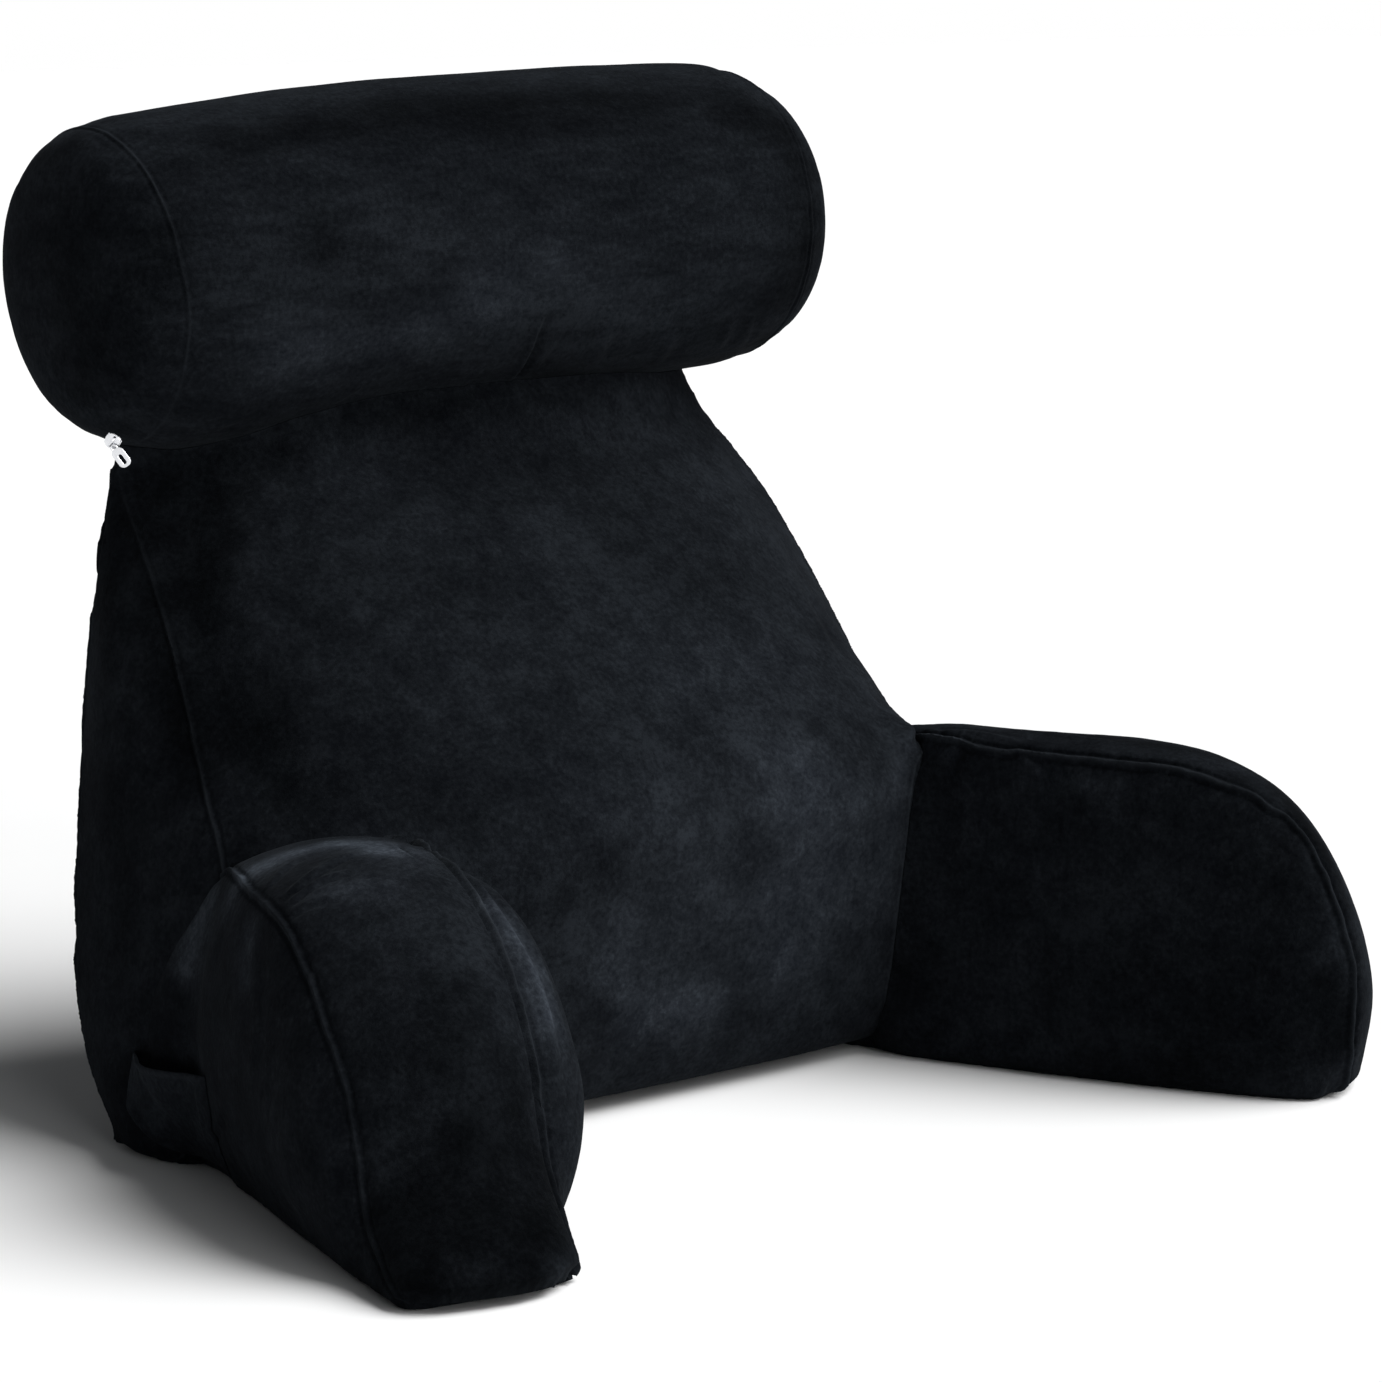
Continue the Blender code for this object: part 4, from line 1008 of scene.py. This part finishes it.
def pocket_sheet():
    """Cloth patch sewn to the arm at its sides and foot, its hemmed mouth sagging open."""
    outward = Vector((-math.cos(ARM_LEFT_SPLAY), math.sin(ARM_LEFT_SPLAY), 0.0))
    trees = (tree_of(arm_l), tree_of(back))
    rows = smooth_rows(POCKET, 9)
    levels = 36
    front, rear, crest = [], [], []
    last = len(rows) - 1
    base = np.zeros((len(rows), levels + 1, 3))
    for i, (s, z_foot, z_mouth, gape) in enumerate(rows):
        for k in range(levels + 1):
            w = k / levels
            z = z_foot + (z_mouth - z_foot) * w
            start = PLACE_L(s, 0.4, z)
            hits = [t.ray_cast(start, -outward)[0] for t in trees]
            hits = [h for h in hits if h is not None]
            skin = min(hits, key=lambda h: (h - start).length) if hits else PLACE_L(s, 0.11, z)
            base[i, k] = skin
    # the cloth spans the arm's wrinkles and hollows between its sewn edges
    sewn = np.ones((len(rows), levels + 1))
    sewn[0] = sewn[-1] = sewn[:, 0] = 0.0
    for _ in range(40):
        pad = np.pad(base, ((1, 1), (1, 1), (0, 0)), mode="edge")
        mean = (pad[:-2, 1:-1] + pad[2:, 1:-1] + pad[1:-1, :-2] + pad[1:-1, 2:]) / 4
        out = (((mean - base) @ np.array(outward)) * sewn)[..., None]
        base = base + np.maximum(out, 0) * np.array(outward)
    for i, (s, z_foot, z_mouth, gape) in enumerate(rows):
        u = i / last
        edge_u = min(i, last - i)
        for k in range(levels + 1):
            w = k / levels
            rim = min(1.0, min(edge_u / 11.0, (k + 0.5) / 6.0))         # 0 at the sewn edges
            stand = 0.0004 + 0.0004 * rim + POCKET_GAPE * max(gape, 0.0) * w ** 1.35
            p = np.array([[s, 0.0, w * 0.055]])
            # soft folds that hang from the two ends of the mouth
            f1 = math.exp(-((u - 0.86 + 0.10 * (1 - w)) / 0.030) ** 2) * math.sin(math.pi * min(1, w * 1.1)) ** 0.7
            f2 = math.exp(-((u - 0.70 + 0.16 * (1 - w)) / 0.045) ** 2) * w ** 0.5
            f3 = math.exp(-((u - 0.16 - 0.10 * (1 - w)) / 0.040) ** 2) * math.sin(math.pi * min(1, w * 1.1)) ** 0.7
            stand += rim * (0.0016 * f1 - 0.0010 * f2 + 0.0012 * f3)
            stand += 0.0005 * float(noise3(p, 0.017, 301)[0]) * rim
            stand = max(stand, 0.0004)
            thick = POCKET_THICK
            hem = math.exp(-((w - 0.965) / 0.035) ** 4)
            stitch = math.exp(-((w - 0.885) / 0.018) ** 2)
            side = math.exp(-((edge_u - 4.5) / 1.4) ** 2) + math.exp(-((k - 3.4) / 1.2) ** 2)
            thick = 0.0003 + (thick - 0.0003) * math.sin(0.5 * math.pi * rim)
            thick += rim * (0.0009 * hem - 0.0005 * stitch) - 0.0002 * min(side, 1.0) * rim
            thick += 0.0004 * rim * hem * float(line_noise(np.array([s]), 0.009, 305)[0])
            b = base[i, k]
            o = np.array(outward)
            rear.append(b + o * stand)
            front.append(b + o * (stand + thick))
            # painted highlight on the hem and on the tops of the hanging folds
            crest.append(rim * (0.40 * hem + 0.25 * f1 + 0.15 * f3))
    cols = levels + 1
    verts = rear + front
    off = len(rear)
    faces = []
    for i in range(last):
        for k in range(levels):
            a, b = i * cols + k, (i + 1) * cols + k
            faces.append((a, b, b + 1, a + 1))
            faces.append((off + a, off + a + 1, off + b + 1, off + b))
        for k in (0, levels):
            a, b = i * cols + k, (i + 1) * cols + k
            faces.append((a, b, off + b, off + a))
    for i in (0, last):
        for k in range(levels):
            a = i * cols + k
            faces.append((a, a + 1, off + a + 1, off + a))
    obj = new_object("pocket_cloth", verts, faces)
    att = obj.data.attributes.new("crest", "FLOAT", "POINT")
    att.data.foreach_set("value", np.array(crest + crest, np.float32))
    att = obj.data.attributes.new("nap_and_shade", "FLOAT", "POINT")
    att.data.foreach_set("value", np.full(len(crest) * 2, 0.35, np.float32))
    mod = obj.modifiers.new("round", "BEVEL")
    mod.width, mod.segments, mod.limit_method, mod.angle_limit = 0.0002, 2, "ANGLE", math.radians(50)
    bpy.context.view_layer.update()
    done = bpy.data.meshes.new_from_object(
        obj.evaluated_get(bpy.context.evaluated_depsgraph_get()))
    obj.modifiers.clear()
    obj.data = done
    done.shade_smooth()
    # flat cut: the strips' widths along the arm, and their lengths up the cloth
    mid = (np.array(front) + np.array(rear)) / 2
    mid = mid.reshape(len(rows), cols, 3)
    area = 0.0
    for i in range(last):
        for k in range(levels):
            a, b, c, d = mid[i, k], mid[i + 1, k], mid[i + 1, k + 1], mid[i, k + 1]
            area += 0.5 * (np.linalg.norm(np.cross(b - a, c - a)) + np.linalg.norm(np.cross(c - a, d - a)))
    width = np.linalg.norm(np.diff(mid[:, -1], axis=0), axis=1).sum()
    tall = max(np.linalg.norm(np.diff(mid[i], axis=0), axis=1).sum() for i in range(len(rows)))
    print("pocket area %.5f width %.4f height %.4f" % (area, width, tall))
    return obj, area


pocket, POCKET_AREA = pocket_sheet()


# ------------------------------------------------------------------ zip slider and pull
def rounded(w, h, r, n=48, shift=(0, 0)):
    """Points of a rounded rectangle, starting at the same bearing for any size."""
    pts = []
    for i in range(n):
        a = 2 * math.pi * i / n
        c, s = math.cos(a), math.sin(a)
        # walk out from the centre until the rounded box's edge
        lo, hi = 0.0, max(w, h)
        for _ in range(28):
            m = (lo + hi) / 2
            x, y = abs(m * c), abs(m * s)
            dx, dy = max(x - (w / 2 - r), 0), max(y - (h / 2 - r), 0)
            if math.hypot(dx, dy) > r:
                hi = m
            else:
                lo = m
        pts.append((lo * c + shift[0], lo * s + shift[1]))
    return pts


def plate(bm, outer, inner, thick, bevel, at=0.0):
    """Flat part in the x-z plane with rounded rims, and a hole if an inner outline is given."""
    def loop(points, inset, y, hole):
        cx = sum(p[0] for p in points) / len(points)
        cz = sum(p[1] for p in points) / len(points)
        out = []
        for x, z in points:
            d = math.hypot(x - cx, z - cz) or 1.0
            k = (inset if hole else -inset) / d
            out.append(bm.verts.new((x + (x - cx) * k, y + at, z + (z - cz) * k)))
        return out

    def wall(points, hole):
        h = thick / 2
        return [loop(points, bevel, -h, hole), loop(points, bevel * 0.3, -h + bevel * 0.3, hole),
                loop(points, 0, -h + bevel, hole), loop(points, 0, h - bevel, hole),
                loop(points, bevel * 0.3, h - bevel * 0.3, hole), loop(points, bevel, h, hole)]

    def bridge(a, b):
        n = len(a)
        for i in range(n):
            bm.faces.new((a[i], a[(i + 1) % n], b[(i + 1) % n], b[i]))

    rim = wall(outer, False)
    for a, b in zip(rim, rim[1:]):
        bridge(a, b)
    if inner:
        hole = wall(inner, True)
        for a, b in zip(hole, hole[1:]):
            bridge(b, a)
        bridge(hole[0], rim[0])
        bridge(rim[-1], hole[-1])
    else:
        bm.faces.new(rim[0][::-1])
        bm.faces.new(rim[-1])


def tube(bm, path, radius, sides=12, flat=1.0):
    path = [Vector(p) for p in path]
    loops = []
    for i, p in enumerate(path):
        t = (path[min(i + 1, len(path) - 1)] - path[max(i - 1, 0)]).normalized()
        u = t.cross(Vector((1, 0, 0)))
        if u.length < 0.1:
            u = t.cross(Vector((0, 1, 0)))
        u.normalize()
        v = t.cross(u)
        loops.append([bm.verts.new(p + (u * math.cos(2 * math.pi * k / sides)
                                        + v * math.sin(2 * math.pi * k / sides) * flat) * radius)
                      for k in range(sides)])
    for a, b in zip(loops, loops[1:]):
        for k in range(sides):
            bm.faces.new((a[k], a[(k + 1) % sides], b[(k + 1) % sides], b[k]))
    bm.faces.new(loops[0][::-1])
    bm.faces.new(loops[-1])


def metal_part(name, bm, centre, turn):
    from mathutils import Euler
    place = Matrix.Translation(Vector(centre) + SHIFT) @ Euler(turn).to_matrix().to_4x4()
    bmesh.ops.recalc_face_normals(bm, faces=bm.faces)
    bm.transform(place)
    mesh = bpy.data.meshes.new(name)
    bm.to_mesh(mesh)
    bm.free()
    mesh.shade_smooth()
    mesh.set_sharp_from_angle(angle=math.radians(48))
    obj = bpy.data.objects.new(name, mesh)
    bpy.context.scene.collection.objects.link(obj)
    return obj


bm = bmesh.new()
shield = [(x * (1.0 - 0.22 * max(0.0, -z / 0.004)), z) for x, z in rounded(0.0088, 0.0082, 0.0030)]
plate(bm, shield, None, 0.0012, 0.00035, at=0.0018)                 # plate under the teeth
plate(bm, shield, None, 0.0012, 0.00035, at=-0.0012)                # plate over them
plate(bm, rounded(0.0024, 0.0030, 0.0009, 24, (0, 0.0022)), None, 0.0024, 0.0003, at=0.0003)
for side in (-1, 1):                                                # turned-in flanges
    tube(bm, [(side * 0.0040, 0.0016, 0.0028), (side * 0.0043, 0.0010, 0.0), (side * 0.0034, 0.0010, -0.0032)],
         0.00055, 8)
arch = [(0, -0.0012 - 0.0021 * math.sin(math.pi * k / 14) ** 0.7, 0.0032 - 0.0064 * k / 14)
        for k in range(15)]
tube(bm, arch, 0.00062, 12, 1.5)                                    # bridge that holds the pull
slider = metal_part("zip_slider_body", bm, (-0.2497, 0.1442, 0.4034),
                    (0.0, math.radians(35), math.radians(-40)))

bm = bmesh.new()
plate(bm, rounded(0.0076, 0.0128, 0.0034, 64, (0, -0.0010)),
      rounded(0.0021, 0.0062, 0.00104, 64, (0, -0.0022)), 0.0015, 0.0004)
eye = [(0.0017 * math.cos(a), 0.0, 0.0058 + 0.0017 * math.sin(a))
       for a in (math.pi * 1.28 - 1.56 * math.pi * k / 16 for k in range(17))]
tube(bm, eye, 0.00065, 10)                                          # eye round the bridge
pull = metal_part("zip_pull_tab", bm, (-0.2489, 0.1377, 0.3951),
                  (0.0, math.radians(-35), math.radians(-40)))


# ------------------------------------------------------------------ materials
def node(nt, kind, **values):
    n = nt.nodes.new(kind)
    for k, v in values.items():
        if k in n.inputs:
            n.inputs[k].default_value = v
        else:
            setattr(n, k, v)
    return n


def blank(name):
    mat = bpy.data.materials.new(name)
    mat.use_nodes = True
    nt = mat.node_tree
    nt.nodes.clear()
    out = nt.nodes.new("ShaderNodeOutputMaterial")
    bsdf = nt.nodes.new("ShaderNodeBsdfPrincipled")
    nt.links.new(bsdf.outputs[0], out.inputs[0])
    return mat, nt, bsdf


PILE_DARK, PILE_MID, PILE_LIGHT = (0.0032, 0.0038, 0.0049), (0.0061, 0.0072, 0.0089), (0.0108, 0.0128, 0.0156)
# paler colour for the painted highlight on seam and fold crests
PILE_CREST_HIGHLIGHT = (0.0240, 0.0280, 0.0330)


def plush(name, turn=(0, 0, 0), stretch=(1, 1, 1), offset=(0, 0, 0)):
    """Short black pile: brushed patches, streaks along the pile's lie, single tufts; a painted highlight on seam
    and fold crests; paler and darker areas from a per-point attribute, partly pile direction and partly painted
    light and painted shade.
    """
    mat, nt, bsdf = blank(name)
    link = nt.links.new
    coord = node(nt, "ShaderNodeTexCoord")
    place = node(nt, "ShaderNodeMapping")
    place.inputs["Location"].default_value = offset
    place.inputs["Rotation"].default_value = turn
    place.inputs["Scale"].default_value = stretch
    link(coord.outputs["Object"], place.inputs["Vector"])
    patch = node(nt, "ShaderNodeTexNoise", Scale=13.0, Detail=3.0, Roughness=0.50, Distortion=0.15)
    streak = node(nt, "ShaderNodeTexNoise", Scale=62.0, Detail=5.0, Roughness=0.62, Distortion=0.12)
    tuft = node(nt, "ShaderNodeTexNoise", Scale=300.0, Detail=3.0, Roughness=0.68)
    pile = node(nt, "ShaderNodeTexNoise", Scale=1500.0, Detail=1.0, Roughness=0.5)
    for t in (patch, streak):
        link(place.outputs[0], t.inputs["Vector"])
    for t in (tuft, pile):
        link(coord.outputs["Object"], t.inputs["Vector"])
    a = node(nt, "ShaderNodeMath", operation="MULTIPLY")
    a.inputs[1].default_value = 0.28
    link(patch.outputs["Fac"], a.inputs[0])
    b = node(nt, "ShaderNodeMath", operation="MULTIPLY_ADD")
    b.inputs[1].default_value = 0.34
    link(streak.outputs["Fac"], b.inputs[0])
    link(a.outputs[0], b.inputs[2])
    c = node(nt, "ShaderNodeMath", operation="MULTIPLY_ADD")
    c.inputs[1].default_value = 0.38
    link(tuft.outputs["Fac"], c.inputs[0])
    link(b.outputs[0], c.inputs[2])
    ramp = node(nt, "ShaderNodeValToRGB")
    ramp.color_ramp.elements[0].position = 0.39
    ramp.color_ramp.elements[0].color = (*PILE_DARK, 1)
    ramp.color_ramp.elements[1].position = 0.61
    ramp.color_ramp.elements[1].color = (*PILE_LIGHT, 1)
    mid = ramp.color_ramp.elements.new(0.50)
    mid.color = (*PILE_MID, 1)
    link(c.outputs[0], ramp.inputs["Fac"])
    # painted highlight: the crest attribute mixes in a paler colour on seam and fold tops
    crest = node(nt, "ShaderNodeAttribute", attribute_name="crest")
    crest_highlight = node(nt, "ShaderNodeMath", operation="MULTIPLY")
    crest_highlight.inputs[1].default_value = 0.45
    link(crest.outputs["Fac"], crest_highlight.inputs[0])
    mix = node(nt, "ShaderNodeMix", data_type="RGBA")
    link(crest_highlight.outputs[0], mix.inputs["Factor"])
    link(ramp.outputs["Color"], mix.inputs[6])
    mix.inputs[7].default_value = (*PILE_CREST_HIGHLIGHT, 1)
    # Paler or darker pile from the per-point attribute, partly pile direction and partly painted light and painted
    # shade: the colour is scaled by 3 to its power.
    brushed_pile_and_shade = node(nt, "ShaderNodeAttribute", attribute_name="nap_and_shade")
    pile_lay_and_shade = node(nt, "ShaderNodeMath", operation="POWER")
    pile_lay_and_shade.inputs[0].default_value = 3.0
    link(brushed_pile_and_shade.outputs["Fac"], pile_lay_and_shade.inputs[1])
    shade = node(nt, "ShaderNodeVectorMath", operation="SCALE")
    link(mix.outputs[2], shade.inputs[0])
    link(pile_lay_and_shade.outputs[0], shade.inputs["Scale"])
    link(shade.outputs[0], bsdf.inputs["Base Color"])
    rough = node(nt, "ShaderNodeMapRange")
    rough.inputs["To Min"].default_value = 0.86
    rough.inputs["To Max"].default_value = 1.0
    link(streak.outputs["Fac"], rough.inputs["Value"])
    link(rough.outputs[0], bsdf.inputs["Roughness"])
    bump1 = node(nt, "ShaderNodeBump", Strength=0.55, Distance=0.0022)
    link(streak.outputs["Fac"], bump1.inputs["Height"])
    bump2 = node(nt, "ShaderNodeBump", Strength=0.45, Distance=0.0009)
    link(tuft.outputs["Fac"], bump2.inputs["Height"])
    link(bump1.outputs[0], bump2.inputs["Normal"])
    bump3 = node(nt, "ShaderNodeBump", Strength=0.35, Distance=0.0004)
    link(pile.outputs["Fac"], bump3.inputs["Height"])
    link(bump2.outputs[0], bump3.inputs["Normal"])
    link(bump3.outputs[0], bsdf.inputs["Normal"])
    bsdf.inputs["Specular IOR Level"].default_value = 0.004
    bsdf.inputs["Sheen Weight"].default_value = 0.020
    bsdf.inputs["Sheen Roughness"].default_value = 0.45
    bsdf.inputs["Sheen Tint"].default_value = (0.50, 0.56, 0.62, 1)
    return mat


def plated(name, offset):
    mat, nt, bsdf = blank(name)
    link = nt.links.new
    coord = node(nt, "ShaderNodeTexCoord")
    place = node(nt, "ShaderNodeMapping")
    place.inputs["Location"].default_value = offset
    link(coord.outputs["Object"], place.inputs["Vector"])
    haze = node(nt, "ShaderNodeTexNoise", Scale=520.0, Detail=3.0, Roughness=0.6)
    link(place.outputs[0], haze.inputs["Vector"])
    ramp = node(nt, "ShaderNodeValToRGB")
    ramp.color_ramp.elements[0].color = (0.66, 0.67, 0.70, 1)
    ramp.color_ramp.elements[1].color = (0.84, 0.85, 0.87, 1)
    link(haze.outputs["Fac"], ramp.inputs["Fac"])
    link(ramp.outputs["Color"], bsdf.inputs["Base Color"])
    rough = node(nt, "ShaderNodeMapRange")
    rough.inputs["To Min"].default_value = 0.10
    rough.inputs["To Max"].default_value = 0.26
    link(haze.outputs["Fac"], rough.inputs["Value"])
    link(rough.outputs[0], bsdf.inputs["Roughness"])
    bump = node(nt, "ShaderNodeBump", Strength=0.12, Distance=0.0002)
    link(haze.outputs["Fac"], bump.inputs["Height"])
    link(bump.outputs[0], bsdf.inputs["Normal"])
    bsdf.inputs["Metallic"].default_value = 1.0
    return mat


MATS = {
    "neck_roll": plush("plush_roll", (0, math.radians(-3.1), math.radians(-1.7)), (0.38, 1.0, 1.25), (0.3, 0, 0)),
    "back_cushion": plush("plush_back", (0, 0, 0), (0.85, 1.0, 0.9), (0, 1.7, 0)),
    "arm_left": plush("plush_arm_left", (0, 0, math.radians(16.8)), (1.0, 0.8, 1.0), (2.1, 0, 0)),
    "arm_right": plush("plush_arm_right", (0, 0, math.radians(-20.6)), (1.0, 0.8, 1.0), (0, 0, 3.3)),
    "arm_pocket": plush("plush_pocket", (0, 0, math.radians(16.8)), (1.0, 1.0, 0.8), (5.0, 0, 0)),
    "zip_slider": plated("plated_slider", (0, 0, 0)),
    "zip_pull": plated("plated_pull", (0.7, 0.2, 0)),
}
PIECES = {"neck_roll": roll, "back_cushion": back, "arm_left": arm_l, "arm_right": arm_r,
          "arm_pocket": pocket, "zip_slider": slider, "zip_pull": pull}
for cad, piece in PIECES.items():
    piece.data.materials.clear()
    piece.data.materials.append(MATS[cad])
    NODES[cad].data.materials.clear()
    NODES[cad].data.materials.append(MATS[cad])
    if not cad.startswith("zip"):
        piece.data.shade_smooth()
    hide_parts(cad)
    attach(piece, "root")


# ------------------------------------------------------------------ floor, light, camera
mesh = bpy.data.meshes.new("floor")
mesh.from_pydata([(-40, -40, 0), (40, -40, 0), (40, 40, 0), (-40, 40, 0)], [], [(0, 1, 2, 3)])
floor = bpy.data.objects.new("floor", mesh)
floor.location.z = -0.0004
bpy.context.scene.collection.objects.link(floor)
mat, nt, bsdf = blank("pale_floor")
grain = node(nt, "ShaderNodeTexNoise", Scale=3.0, Detail=2.0)
coord = node(nt, "ShaderNodeTexCoord")
nt.links.new(coord.outputs["Object"], grain.inputs["Vector"])
ramp = node(nt, "ShaderNodeValToRGB")
ramp.color_ramp.elements[0].color = (0.88, 0.88, 0.88, 1)
ramp.color_ramp.elements[1].color = (0.92, 0.92, 0.92, 1)
nt.links.new(grain.outputs["Fac"], ramp.inputs["Fac"])
nt.links.new(ramp.outputs["Color"], bsdf.inputs["Base Color"])
bsdf.inputs["Roughness"].default_value = 0.9
bsdf.inputs["Specular IOR Level"].default_value = 0.1
floor.data.materials.append(mat)

world = bpy.data.worlds.new("studio")
bpy.context.scene.world = world
world.use_nodes = True
nt = world.node_tree
nt.nodes.clear()
w_out = nt.nodes.new("ShaderNodeOutputWorld")
w_mix = nt.nodes.new("ShaderNodeMixShader")
w_fill = nt.nodes.new("ShaderNodeBackground")
w_fill.inputs["Color"].default_value = (0.93, 0.97, 1.0, 1)
w_fill.inputs["Strength"].default_value = 0.05
w_seen = nt.nodes.new("ShaderNodeBackground")
w_seen.inputs["Color"].default_value = (1, 1, 1, 1)
w_seen.inputs["Strength"].default_value = 1.0
w_path = nt.nodes.new("ShaderNodeLightPath")
w_bright = nt.nodes.new("ShaderNodeMath")                 # white to the eye and in the plating
w_bright.operation = "MAXIMUM"
nt.links.new(w_path.outputs["Is Camera Ray"], w_bright.inputs[0])
nt.links.new(w_path.outputs["Is Glossy Ray"], w_bright.inputs[1])
nt.links.new(w_bright.outputs[0], w_mix.inputs[0])
nt.links.new(w_fill.outputs[0], w_mix.inputs[1])
nt.links.new(w_seen.outputs[0], w_mix.inputs[2])
nt.links.new(w_mix.outputs[0], w_out.inputs[0])


def sun(name, towards, strength, angle):
    data = bpy.data.lights.new(name, "SUN")
    data.energy, data.angle = strength, math.radians(angle)
    obj = bpy.data.objects.new(name, data)
    bpy.context.scene.collection.objects.link(obj)
    obj.rotation_euler = Vector(towards).to_track_quat("Z", "Y").to_euler()
    return obj


sun("key", (0.4545, -0.4545, 0.766), 4.1, 45)
sun("front", (0.0, -0.966, 0.26), 1.2, 50)

cam = bpy.data.cameras.new("camera")
cam.sensor_width = 36.0
cam.lens = 36.0 * FOCAL_PX / (2 * HALF_PX)
cam.clip_start, cam.clip_end = 0.05, 200.0
camera = bpy.data.objects.new("camera", cam)
bpy.context.scene.collection.objects.link(camera)
turn = Matrix((RIGHT, UP, BACKWARD)).transposed().to_4x4()
camera.matrix_world = Matrix.Translation(CAM_AT) @ turn
bpy.context.scene.camera = camera

view = bpy.context.scene.view_settings
view.view_transform = "Standard"
view.look = "None"
view.exposure = 0.0
view.gamma = 1.0

bpy.context.view_layer.update()
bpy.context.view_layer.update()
for piece in PIECES.values():
    tris = sum(len(p.vertices) - 2 for p in piece.data.polygons)
    print("piece", piece.name, "triangles", tris)
